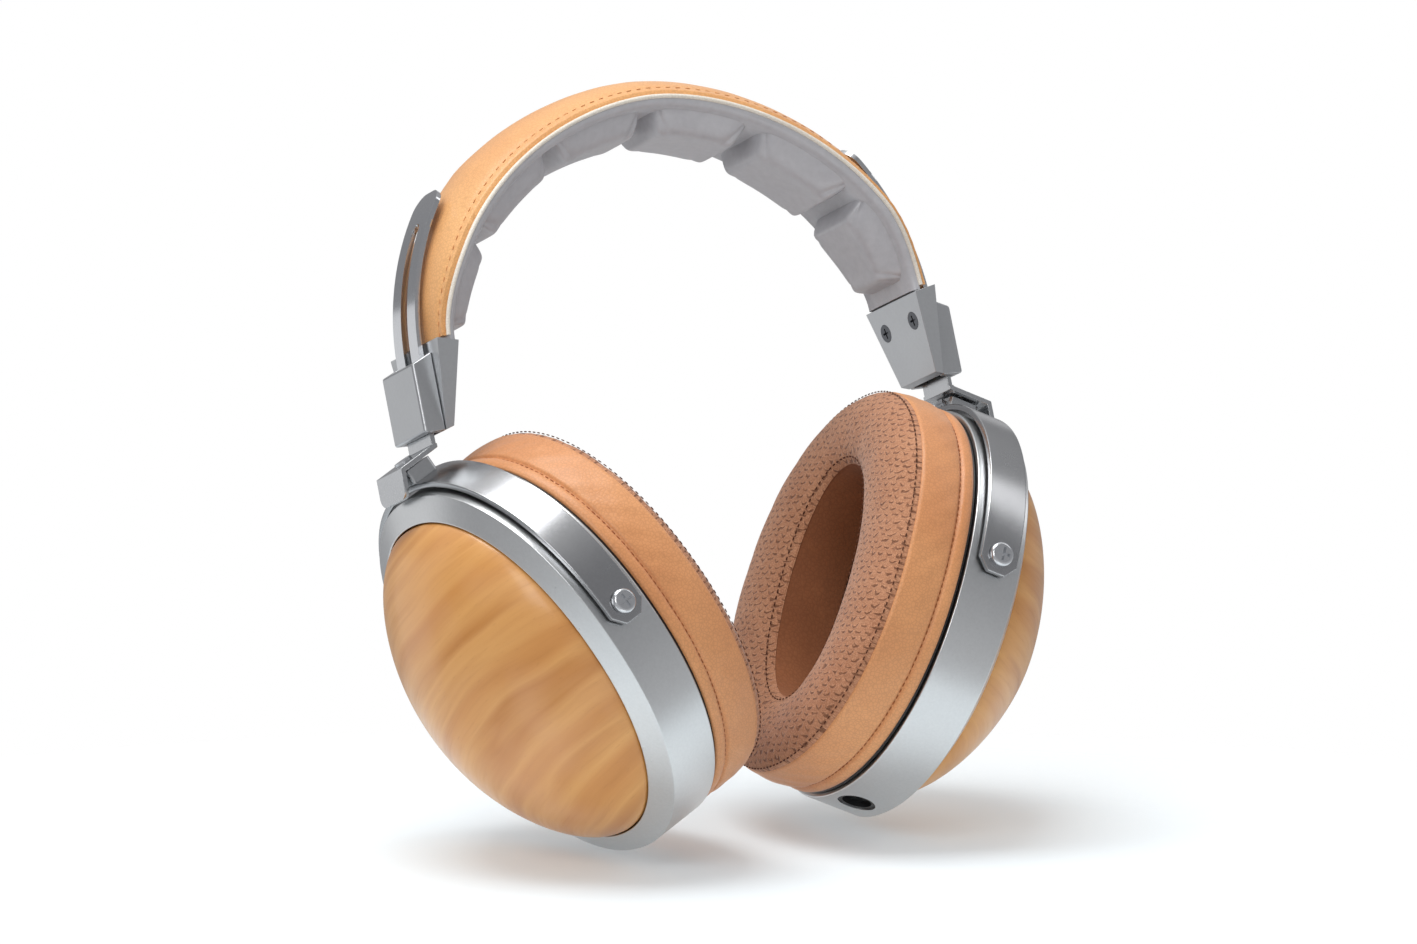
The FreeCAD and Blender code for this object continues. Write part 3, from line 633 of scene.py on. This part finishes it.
def build_pad(side):
    s = side_name(side)
    rng = np.random.default_rng(5 if side > 0 else 9)
    ph = rng.uniform(0, 6.28, 12)
    # outer leather wall: rolled hem at the ring, stitched groove, then a soft bulge up to the seam
    prof = [(PAD_A - 3.0, PAD_B - 3.0, PAD_BACK)]
    for k, n in enumerate(np.linspace(PAD_BACK, PAD_SEAM, 46)):
        d = n - PAD_BACK
        o = 0.0
        if -d < 3.2:
            x = (-d) / 3.2
            o = 0.25 * math.sin(math.pi * min(1, x)) - 0.9 * max(0, 0.28 - x) ** 1.2
        o -= 0.62 * math.exp(-((n + 11.55) / 0.42) ** 2)
        if n < -11.6:
            x = (-11.6 - n) / (-11.6 - PAD_SEAM)
            o += 0.55 * math.sin(math.pi * x ** 0.8) ** 0.8 - 0.1
        if n < PAD_SEAM + 0.9:
            o -= 0.5 * ((PAD_SEAM + 0.9 - n) / 0.9) ** 2
        prof.append((PAD_A + o, PAD_B + o, n))
    prof.append((PAD_A - 1.4, PAD_B - 1.4, PAD_SEAM + 0.1))
    P = np.zeros((len(prof), N_OVAL, 3))
    arc = np.linspace(0, 2 * math.pi, N_OVAL, endpoint=False)
    for k, (a, b, n) in enumerate(prof):
        # faint pulls where the leather turns tight curves
        w = 0.10 * np.sin(arc * 17 + ph[0] + n * 0.5) * np.sin(arc * 5 + ph[1]) + 0.07 * np.sin(arc * 41 + ph[2] - n * 0.9)
        fade = max(0.0, math.sin(math.pi * min(1, max(0, (PAD_BACK - n) / (PAD_BACK - PAD_SEAM)))))
        y, u = oval(a, b, T_OVAL)
        sc = 1 + w * fade / 48
        P[k] = cup_pt(side, n, y * sc, u * sc)
    wall = grid(s + "_pad_wall", P, close_j=True)
    give(wall, MAT["pad_leather"])
    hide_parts(s + "_ear_pad_leather")
    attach(wall, s + "_cup")

    # fabric face: crowned ring from the outer seam over to the ear opening
    pts = [(0.018, PAD_SEAM + 0.35), (0.0, PAD_SEAM - 0.15), (0.012, PAD_SEAM - 0.8), (0.045, -24.0), (0.10, -25.0), (0.18, -25.9), (0.28, -26.55), (0.40, -26.95),
           (0.52, -27.1), (0.64, -26.95), (0.76, -26.5), (0.86, -25.8), (0.935, -25.0), (0.98, -24.2), (0.995, -23.4)]
    lamk = np.array([p[0] for p in pts])
    nk = np.array([p[1] for p in pts])
    seg = np.concatenate([[0], np.cumsum(np.hypot(np.diff(lamk) * 23, np.diff(nk)))])
    fine = np.linspace(0, seg[-1], 37)
    # smooth the profile
    lf, nf = np.interp(fine, seg, lamk), np.interp(fine, seg, nk)
    for _ in range(6):
        lf[1:-1] = (lf[:-2] + 2 * lf[1:-1] + lf[2:]) / 4
        nf[1:-1] = (nf[:-2] + 2 * nf[1:-1] + nf[2:]) / 4
    NF = N_OVAL // 2
    arc, T_half = arc[::2], T_OVAL[::2]
    P = np.zeros((len(fine), NF, 3))
    UV = np.zeros((len(fine), NF + 1, 2))
    for k in range(len(fine)):
        a, b, n = lam(lf[k], nf[k])
        x = min(1, max(0, lf[k]))
        w = (0.22 * np.sin(arc * 3 + ph[3]) + 0.14 * np.sin(arc * 7 + ph[4]) + 0.07 * np.sin(arc * 19 + ph[5] + 4 * x)) * math.sin(math.pi * x)
        # small gathers beside both seams
        w = w + 0.10 * np.sin(arc * 64 + ph[6]) * (math.exp(-((x - 0.03) / 0.05) ** 2) + math.exp(-((x - 0.95) / 0.04) ** 2))
        y, u = oval(a, b, T_half)
        P[k] = cup_pt(side, n + w, y, u)
        UV[k, :NF, 0], UV[k, :NF, 1] = y, u
        UV[k, NF] = UV[k, 0]
    face = grid(s + "_pad_face", P, close_j=True, uv=lambda i, j: (UV[i, j, 0], UV[i, j, 1]))
    last = len(fine) - 1
    pinned = [i * NF + j for i in (0, 1, 2, last - 1, last) for j in range(NF)]
    puff(face, pinned, Vector((-side * CA, 0, SA)))
    subdivide(face, 1)
    give(face, MAT["fabric"])
    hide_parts(s + "_ear_pad_fabric")
    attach(face, s + "_cup")

    # leather lining of the ear opening, slightly bellied
    prof = []
    for k in range(24):
        x = k / 23
        n = -23.7 + x * (-8.3 + 23.7)
        o = 0.45 * math.sin(math.pi * x) - 0.35
        prof.append((OPEN_A - o, OPEN_B - o, n))
    prof.append((OPEN_A + 3, OPEN_B + 3, -8.25))
    lining = lathe(s + "_pad_lining", side, prof, closed=False)
    give(lining, MAT["inner_leather"])
    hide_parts(s + "_ear_pad_foam")
    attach(lining, s + "_cup")

    st = [oval_stitches(s + "_wall_stitches", side, PAD_A - 0.50, PAD_B - 0.50, -11.55, 1.7, (1, 0), 0.17, 0.13, 1.1, MAT["thread_tan"])]
    a, b, _ = lam(0.03, 0)
    st.append(oval_stitches(s + "_outer_seam_stitches", side, a, b, -23.72, 1.75, (0.6, -0.8), 0.21, 0.16, 1.05, MAT["thread"]))
    a, b, _ = lam(0.93, 0)
    st.append(oval_stitches(s + "_inner_seam_stitches", side, a, b, -25.06, 1.7, (-0.6, -0.8), 0.2, 0.16, 1.0, MAT["thread"]))
    for o, sl in zip(st, ("pad_leather", "pad_fabric", "pad_fabric")):
        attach(o, s + "_cup")


def puff(ob, pinned, outward_dir, pressure=2500.0, frames=20, cap=0.0008):
    """Swells a padded skin with Cloth, holds its sewn edges, and limits how far any point may move."""
    me = ob.data
    rest = np.array([v.co[:] for v in me.vertices])
    total = sum((f.normal * f.area for f in me.polygons), Vector())
    if total.dot(outward_dir) < 0:
        me.flip_normals()
    grp = ob.vertex_groups.new(name="pin")
    grp.add(pinned, 1.0, "REPLACE")
    m = ob.modifiers.new("cloth", "CLOTH")
    c = m.settings
    c.quality = 6
    c.mass = 0.12
    c.tension_stiffness = c.compression_stiffness = 25
    c.shear_stiffness = 12
    c.bending_stiffness = 0.3
    c.use_pressure = True
    c.uniform_pressure_force = pressure
    c.vertex_group_mass = "pin"
    c.effector_weights.gravity = 0
    m.collision_settings.use_collision = False
    m.collision_settings.use_self_collision = False
    m.point_cache.frame_start, m.point_cache.frame_end = 1, frames
    for f in range(1, frames + 1):
        bpy.context.scene.frame_set(f)
    dg = bpy.context.evaluated_depsgraph_get()
    ev = ob.evaluated_get(dg)
    em = ev.to_mesh()
    new = np.array([v.co[:] for v in em.vertices])
    ev.to_mesh_clear()
    ob.modifiers.remove(m)
    ob.vertex_groups.remove(grp)
    bpy.context.scene.frame_set(1)
    d = new - rest
    d[~np.isfinite(d).all(1)] = 0
    l = np.linalg.norm(d, axis=1)
    print("puff", ob.name, "median %.3f mm, largest %.3f mm before the cap" % (np.median(l) * 1000, l.max() * 1000))
    k = cap * np.tanh(l / cap) / np.maximum(l, 1e-9)
    me.vertices.foreach_set("co", (rest + d * k[:, None]).ravel())
    me.update()


# ---------------------------------------------------------------- yokes
def build_yoke(side):
    s = side_name(side)
    g0, g1 = YG, YG + YT
    a, b = RY + g0 + YT / 2, RU + g0 + YT / 2
    t = np.linspace(-0.6, math.pi + 0.6, 6000)
    y, u = oval(a, b, t)
    ds = np.concatenate([[0], np.cumsum(np.hypot(np.diff(y), np.diff(u)))])
    end_u = PIVOT_U - 4.9
    lo = ds[np.argmax(u > end_u)]
    hi = ds[len(u) - 1 - np.argmax(u[::-1] > end_u)]
    st = np.concatenate([lo + np.array([0, 0.8, 1.6, 2.4, 3.1]), np.linspace(lo + 4.5, hi - 4.5, 150), hi - np.array([3.1, 2.4, 1.6, 0.8, 0])])
    P = np.zeros((len(st), 8, 3))
    for i, sv in enumerate(st):
        tt = np.interp(sv, ds, t)
        e = min(sv - lo, hi - sv)
        w = 5.0 if e >= 3.1 else 2.3 + 2.7 * e / 3.1
        yy, uu = oval(a, b, np.array([tt - 1e-3, tt, tt + 1e-3]))
        ty, tu = yy[2] - yy[0], uu[2] - uu[0]
        l = math.hypot(ty, tu)
        ny, nu = -tu / l, ty / l
        if ny * yy[1] + nu * uu[1] < 0:
            ny, nu = -ny, -nu
        h = YT / 2
        for k, (nn, dd) in enumerate(((-w, h), (-w / 3, h), (w / 3, h), (w, h), (w, -h), (w / 3, -h), (-w / 3, -h), (-w, -h))):
            P[i, k] = cup_pt(side, nn, yy[1] + ny * dd, uu[1] + nu * dd)
    ob = grid(s + "_yoke_strap", P, close_j=True, cap_i=True)
    bevel(ob, 0.32, 3, 35)
    auto_smooth(ob, 30)
    weighted(ob)
    give(ob, MAT["strap"])
    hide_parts(s + "_yoke_arm")
    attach(ob, s + "_yoke")


# ---------------------------------------------------------------- blades
def build_blade(side):
    s = side_name(side)
    z0 = 57.5
    straight = BEND_Z - z0
    rm = BLADE_R - BLADE_T / 2
    total = straight + rm * BLADE_ARC
    slot0, slot1 = 71.1 - z0, total - 9.0
    R = 4.5
    stations = sorted(set(np.round(np.concatenate([np.linspace(0, total - R, 70), total - R + R * np.sin(np.linspace(0, math.pi / 2, 12)),
                                                  slot0 + np.linspace(0, SLOT_W / 2, 6), slot1 - np.linspace(0, SLOT_W / 2, 6)]), 4)))
    cx = BLADE_X - BLADE_R
    verts, faces = [], []
    for sv in stations:
        w = BLADE_W / 2
        if sv > total - R:
            w = BLADE_W / 2 - R + math.sqrt(max(0.0, R * R - (sv - total + R) ** 2))
        h = 0.5
        r = SLOT_W / 2
        if slot0 + r <= sv <= slot1 - r:
            h = r
        elif slot0 < sv < slot0 + r:
            h = max(0.5, math.sqrt(max(0, r * r - (slot0 + r - sv) ** 2)))
        elif slot1 - r < sv < slot1:
            h = max(0.5, math.sqrt(max(0, r * r - (sv - slot1 + r) ** 2)))
        if sv <= straight:
            x, z = BLADE_X - BLADE_T / 2, z0 + sv
        else:
            an = (sv - straight) / rm
            x, z = cx + rm * math.cos(an), BEND_Z + rm * math.sin(an)
        for yv in (-w, -(w + h) / 2, -h, h, (w + h) / 2, w):
            verts.append((side * x * 0.001, yv * 0.001, (z + LIFT) * 0.001))
    inside = [slot0 < sv < slot1 for sv in stations]
    for i in range(len(stations) - 1):
        for j in range(5):
            mid = 0.5 * (stations[i] + stations[i + 1])
            if j == 2 and slot0 < mid < slot1:
                continue
            faces.append((i * 6 + j, (i + 1) * 6 + j, (i + 1) * 6 + j + 1, i * 6 + j + 1))
    ob = new_object(s + "_blade", verts, faces)
    bm = bmesh.new()
    bm.from_mesh(ob.data)
    bmesh.ops.remove_doubles(bm, verts=bm.verts, dist=1e-5)
    bmesh.ops.recalc_face_normals(bm, faces=bm.faces)
    bm.to_mesh(ob.data)
    bm.free()
    m = ob.modifiers.new("thick", "SOLIDIFY")
    m.thickness, m.offset = BLADE_T * 0.001, 0.0
    apply_all(ob)
    bevel(ob, 0.25, 2, 40)
    auto_smooth(ob, 30)
    weighted(ob)
    give(ob, MAT["blade"])
    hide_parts(s + "_slider_blade")
    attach(ob, s + "_slider")
    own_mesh(ob)


# ---------------------------------------------------------------- headband
def band_raw(q):
    return BAND_X * sg(np.sin(q), 2 / BAND_E), BAND_TOP - BAND_Z * (1 - sg(np.cos(q), 2 / BAND_E))


def band_frame(q):
    x, z = band_raw(q)
    h = 1e-4
    xa, za = band_raw(q - h)
    xb, zb = band_raw(q + h)
    l = math.hypot(xb - xa, zb - za)
    nx, nz = -(zb - za) / l, (xb - xa) / l
    if nx * x + nz * (z - 60) < 0:
        nx, nz = -nx, -nz
    return float(x), float(z), float(nx), float(nz)


def q_at_z(zv):
    lo, hi = 0.3, math.pi / 2 - 1e-6
    for _ in range(60):
        mid = (lo + hi) / 2
        if band_raw(mid)[1] > zv:
            lo = mid
        else:
            hi = mid
    return lo


Q_END = q_at_z(END_Z)


def half_w(z):
    f = min(1.0, max(0.0, (z - END_Z) / 22.0))
    return END_HALF_W + (HALF_W - END_HALF_W) * f * f * (3 - 2 * f)


def crown(z):
    return 1.0 + (CROWN - 1.0) * min(1.0, max(0.0, (z - END_Z)) / 38.0) ** 1.15


def even_q(q0, q1, count, d=0.0):
    q = np.linspace(q0, q1, 3000)
    xz = np.array([band_frame(v) for v in q])
    x, z = xz[:, 0] - d * xz[:, 2], xz[:, 1] - d * xz[:, 3]
    s = np.concatenate([[0], np.cumsum(np.hypot(np.diff(x), np.diff(z)))])
    return np.interp(np.linspace(0, s[-1], count), s, q), s[-1], q, s


def band_pt(q, y, d):
    x, z, nx, nz = band_frame(q)
    return ((x - d * nx) * 0.001, y * 0.001, (z - d * nz + LIFT) * 0.001)


def build_leather_cover():
    Q, L, _, _ = even_q(-Q_END, Q_END, 260)
    rows = []
    nj = 56
    for i, q in enumerate(Q):
        x, z, nx, nz = band_frame(q)
        h = half_w(z) - 0.55
        c = crown(z)
        sv = L * i / (len(Q) - 1)
        row = []
        for j in range(nj):
            f = -1 + 2 * j / (nj - 1)
            y = h * math.sin(f * math.pi / 2)
            r = abs(y / h)
            d = -c * (1 - r ** 2.1) ** 0.92
            # a shallow roll just inside the piping and soft puckers from its stitching
            d += 0.18 * math.exp(-((r - 0.90) / 0.045) ** 2)
            d += 0.07 * math.sin(sv * 1.9) * math.exp(-((r - 0.94) / 0.07) ** 2)
            wv = noise.noise(Vector((sv * 0.035, y * 0.05, 3.3))) * 0.30 + noise.noise(Vector((sv * 0.16, y * 0.05, 9.1))) * 0.10
            d -= wv * (1 - r ** 3)
            row.append(band_pt(q, y, d))
        for y in (h, h * 0.5, 0, -h * 0.5, -h):
            row.append(band_pt(q, y, 1.5))
        rows.append(row)
    ob = grid("band_leather", np.array(rows), close_j=True, cap_i=True)
    auto_smooth(ob, 50)
    give(ob, MAT["band_leather"])
    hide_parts("headband_leather_cover")
    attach(ob, "headband")


def build_piping():
    Q, L, _, _ = even_q(-Q_END, Q_END, 340)
    rings = []
    for sy in (-1, 1):
        P = np.zeros((len(Q), 14, 3))
        for i, q in enumerate(Q):
            x, z, nx, nz = band_frame(q)
            tx, tz = -nz, nx
            sv = L * i / (len(Q) - 1)
            r = 0.50 + 0.012 * math.sin(sv * 4.1) + 0.015 * noise.noise(Vector((sv * 0.3, sy, 0)))
            cy = sy * (half_w(z) - 0.1)
            for k in range(14):
                a = 2 * math.pi * k / 14
                yy = cy + r * math.cos(a)
                dd = 1.55 - r * 1.1 * math.sin(a)
                P[i, k] = band_pt(q, yy, dd)
        rings.append(grid("p", P, close_j=True, cap_i=True))
    ob = join("band_piping", rings)
    outward(ob)
    auto_smooth(ob, 50)
    give(ob, MAT["piping"])
    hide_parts("headband_edge_piping")
    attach(ob, "headband")
    # stitches of the piping on the leather
    pts = []
    n = int(L / 2.6)
    Qs, _, _, _ = even_q(-Q_END * 0.995, Q_END * 0.995, n)
    for sy in (-1, 1):
        for i in range(0, n - 1):
            q = Qs[i]
            x, z, nx, nz = band_frame(q)
            h = half_w(z) - 0.55
            y = sy * h * 0.905
            d = -crown(z) * (1 - 0.905 ** 2.1) ** 0.92 + 0.10
            p0, p1 = band_pt(q, y, d), band_pt(q + 1e-3, y, d)
            pts.append((p0, np.array(p1) - np.array(p0), (nx, sy * 0.35, nz)))
    st = stitches("band_stitches", pts, 0.00013, 0.00011, 0.0013, MAT["thread_band"])
    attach(st, "headband")


def build_comfort_pad():
    parts = []
    qp = q_at_z(END_Z - 1.1)
    Q, L, _, _ = even_q(-qp, qp, 220, 3.4)
    rows = []
    for i, q in enumerate(Q):
        x, z, nx, nz = band_frame(q)
        h = half_w(z) - 0.25
        row = []
        for y, d in ((-h + 0.5, 1.55), (-h, 1.9), (-h + 0.12, 2.6), (-h + 0.7, 3.4), (-h + 1.7, 4.0), (-h * 0.5, 4.12), (0, 4.12), (h * 0.5, 4.12),
                     (h - 1.7, 4.0), (h - 0.7, 3.4), (h - 0.12, 2.6), (h, 1.9), (h - 0.5, 1.55), (0, 1.65)):
            row.append(band_pt(q, y, d))
        rows.append(row)
    parts.append(grid("b", np.array(rows), close_j=True, cap_i=True))
    _, Lh, qq, ss = even_q(0, math.pi / 2 * 0.999, 10, 4.0)
    for a_, b_ in ((1.6, 27.5), (31.0, 57.5), (61.0, 84.0)):
        for sgn in (-1, 1):
            ni, nj = 60, 44
            rows = []
            for i in range(ni):
                xi = -1 + 2 * i / (ni - 1)
                xi = math.copysign(1 - (1 - abs(xi)) ** 1.6, xi)
                sv = (a_ + b_) / 2 + xi * (b_ - a_) / 2
                row = []
                for j in range(nj):
                    et = -1 + 2 * j / (nj - 1)
                    et = math.copysign(1 - (1 - abs(et)) ** 1.6, et)
                    # rounded plan corners: pull the outline in near the corners
                    rr = (abs(xi) ** 8 + abs(et) ** 8) ** 0.125
                    k = 1.0 if rr < 1e-6 else max(abs(xi), abs(et)) / rr
                    xs, es = xi * k, et * k
                    svv = (a_ + b_) / 2 + xs * (b_ - a_) / 2
                    q = float(np.interp(svv, ss, qq)) * sgn
                    z = band_frame(q)[1]
                    h = half_w(z) - 3.1
                    tx_, ty_ = (1 - abs(xi)) / 0.13, (1 - abs(et)) / 0.27
                    ks = 4.2
                    edge = -math.log(math.exp(-ks * tx_) + math.exp(-ks * ty_) + math.exp(-ks) - 1.0 * math.exp(-ks * (tx_ + ty_ + 1))) / ks
                    edge = max(0.0, min(1.0, edge))
                    top = 5.72 * edge * (0.95 + 0.05 * (1 - xi * xi) * (1 - et * et))
                    row.append(band_pt(q, h * es, 4.0 + top))
                rows.append(row)
            parts.append(grid("k", np.array(rows)))
    ob = join("comfort_pad", parts)
    bm = bmesh.new()
    bm.from_mesh(ob.data)
    bmesh.ops.recalc_face_normals(bm, faces=bm.faces)
    bm.to_mesh(ob.data)
    bm.free()
    auto_smooth(ob, 60)
    give(ob, MAT["silicone"])
    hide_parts("headband_comfort_pad")
    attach(ob, "headband")


for side in (-1, 1):
    build_ring(side)
    build_wood(side)
    build_pad(side)
    build_yoke(side)
    build_blade(side)
    s = side_name(side)
    for node, name, w, mat, body, sl in (
            ("slider_housing", "housing_shell", 0.35, "housing", "headband", "housing_metal"),
            ("slider_cover", "slide_cover", 0.35, "housing", "headband", "housing_metal"),
            ("hinge_bracket", "bracket_plate", 0.25, "steel", s + "_slider", "brushed_yoke"),
            ("swivel_knuckle", "knuckle_block", 0.3, "steel", s + "_yoke", "brushed_yoke")):
        o = softened(s + "_" + node, s + "_" + name, w)
        give(o, MAT[mat])
        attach(o, body)
build_leather_cover()
build_piping()
build_comfort_pad()

# ---------------------------------------------------------------- camera
AZ, EL, ROLL, DIST, TX, TY, F_PX = -29.0, -8.12, -11.1, 2200.0, -4.36, 39.2, 9169.5
a, e, r = (math.radians(v) for v in (AZ, EL, ROLL))
back = Vector((math.sin(a) * math.cos(e), -math.cos(a) * math.cos(e), math.sin(e)))
right = Vector((math.cos(a), math.sin(a), 0))
upv = back.cross(right)
R = math.cos(r) * right + math.sin(r) * upv
U = -math.sin(r) * right + math.cos(r) * upv
loc = back * DIST + R * TX + U * TY + Vector((0, 0, LIFT))
cam = bpy.data.cameras.new("camera")
cam.sensor_width = 36.0
cam.lens = 36.0 * F_PX / 1417
cam.clip_start, cam.clip_end = 0.05, 50
co = bpy.data.objects.new("camera", cam)
bpy.context.scene.collection.objects.link(co)
co.matrix_world = Matrix(((R.x, U.x, back.x, loc.x * 0.001), (R.y, U.y, back.y, loc.y * 0.001), (R.z, U.z, back.z, loc.z * 0.001), (0, 0, 0, 1)))
bpy.context.scene.camera = co

# ---------------------------------------------------------------- floor: a pale disc that fades out, square to the picture
tilt = math.radians(9.0)
FN = (U * math.cos(tilt) + back * math.sin(tilt)).normalized()
low = 1e9
for node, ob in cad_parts.items():
    for v in ob.data.vertices:
        low = min(low, v.co.dot(FN))
fx = R.normalized()
fy = FN.cross(fx).normalized()
centre = Vector((0, 0, 0.09))
centre = centre - FN * (centre.dot(FN) - low + 0.001)
centre = centre - fy * 0.03 if fy.dot(back) < 0 else centre + fy * 0.03
verts, faces = [centre], []
for k in range(96):
    an = 2 * math.pi * k / 96
    verts.append(centre + fx * math.cos(an) * 0.27 + fy * math.sin(an) * 0.17)
for k in range(96):
    faces.append((0, 1 + k, 1 + (k + 1) % 96))
floor = new_object("floor", verts, faces, smooth=False)
floor.data.update()
if floor.data.polygons[0].normal.dot(FN) < 0:
    floor.data.flip_normals()
fm = Mat("pale_floor")
fm.set(Roughness=0.8, Specular_IOR_Level=0.1)
grain = fm.noise(fm.mapped(), 400, 3)
fcol = fm.mix(grain, (0.66, 0.715, 0.745, 1), (0.64, 0.70, 0.73, 1))
fm.set(Emission_Color=(1, 1, 1, 1), Emission_Strength=0.24)
dst = fm.n("ShaderNodeVectorMath", operation="SUBTRACT")
fm.l(fm.co.outputs["Object"], dst.inputs[0])
dst.inputs[1].default_value = centre
parts2 = []
for ax, half in ((fx, 0.27), (fy, 0.17)):
    dt = fm.n("ShaderNodeVectorMath", operation="DOT_PRODUCT")
    fm.l(dst.outputs[0], dt.inputs[0])
    dt.inputs[1].default_value = ax / half
    parts2.append(fm.math("MULTIPLY", dt.outputs["Value"], dt.outputs["Value"]))
rad = fm.math("SQRT", fm.math("ADD", parts2[0], parts2[1]))
geo = fm.n("ShaderNodeNewGeometry")
fade = fm.math("MULTIPLY", fm.range(rad, 0.50, 0.98, 1.0, 0.0), fm.math("SUBTRACT", 1.0, geo.outputs["Backfacing"]))
fm.l(fade, fm.b.inputs["Alpha"])
fm.out(fcol)
give(floor, fm.m)

# ---------------------------------------------------------------- light
bpy.context.scene.view_settings.view_transform = "Standard"
world = bpy.data.worlds.new("studio")
bpy.context.scene.world = world
world.use_nodes = True
wt = world.node_tree
bg = wt.nodes["Background"]
tc = wt.nodes.new("ShaderNodeTexCoord")
sp = wt.nodes.new("ShaderNodeSeparateXYZ")
wt.links.new(tc.outputs["Generated"], sp.inputs[0])
rp = wt.nodes.new("ShaderNodeValToRGB")
rp.color_ramp.elements[0].position = 0.0
rp.color_ramp.elements[0].color = (0.72, 0.72, 0.73, 1)
rp.color_ramp.elements[1].position = 1.0
rp.color_ramp.elements[1].color = (0.95, 0.95, 0.95, 1)
el = rp.color_ramp.elements.new(0.40)
el.color = (0.50, 0.50, 0.51, 1)
el = rp.color_ramp.elements.new(0.54)
el.color = (0.36, 0.36, 0.37, 1)
el = rp.color_ramp.elements.new(0.74)
el.color = (0.30, 0.30, 0.31, 1)
mr = wt.nodes.new("ShaderNodeMapRange")
mr.inputs[1].default_value, mr.inputs[2].default_value = -1, 1
wt.links.new(sp.outputs[2], mr.inputs[0])
wt.links.new(mr.outputs[0], rp.inputs["Fac"])
lp = wt.nodes.new("ShaderNodeLightPath")
mx = wt.nodes.new("ShaderNodeMix")
mx.data_type = "RGBA"
wt.links.new(lp.outputs["Is Camera Ray"], mx.inputs[0])
wt.links.new(rp.outputs["Color"], mx.inputs[6])
mx.inputs[7].default_value = (1, 1, 1, 1)
wt.links.new(mx.outputs[2], bg.inputs["Color"])
bg.inputs["Strength"].default_value = 1.0


def area(name, pos, size, power, target=(0, 0, 0.09), color=(1, 1, 1)):
    l = bpy.data.lights.new(name, "AREA")
    l.shape = "RECTANGLE"
    l.size, l.size_y = size
    l.energy = power
    l.color = color
    o = bpy.data.objects.new(name, l)
    bpy.context.scene.collection.objects.link(o)
    p = Vector(pos)
    o.location = p
    o.rotation_euler = (Vector(target) - p).to_track_quat("-Z", "Y").to_euler()
    return o


area("key_top", (-0.2, -0.3, 1.2), (0.8, 0.6), 10.5)
area("front_left", (-1.0, -1.1, 0.55), (0.6, 0.8), 5.9)
area("front_right", (1.4, -0.9, 0.9), (0.5, 0.7), 1.8)
area("back_left", (-0.75, 1.1, 0.25), (0.8, 0.7), 0.95)
area("back_right", (0.9, 1.0, 0.8), (0.5, 0.5), 0.3)
area("low_front", (-0.05, -0.75, -0.9), (0.8, 0.3), 1.2)
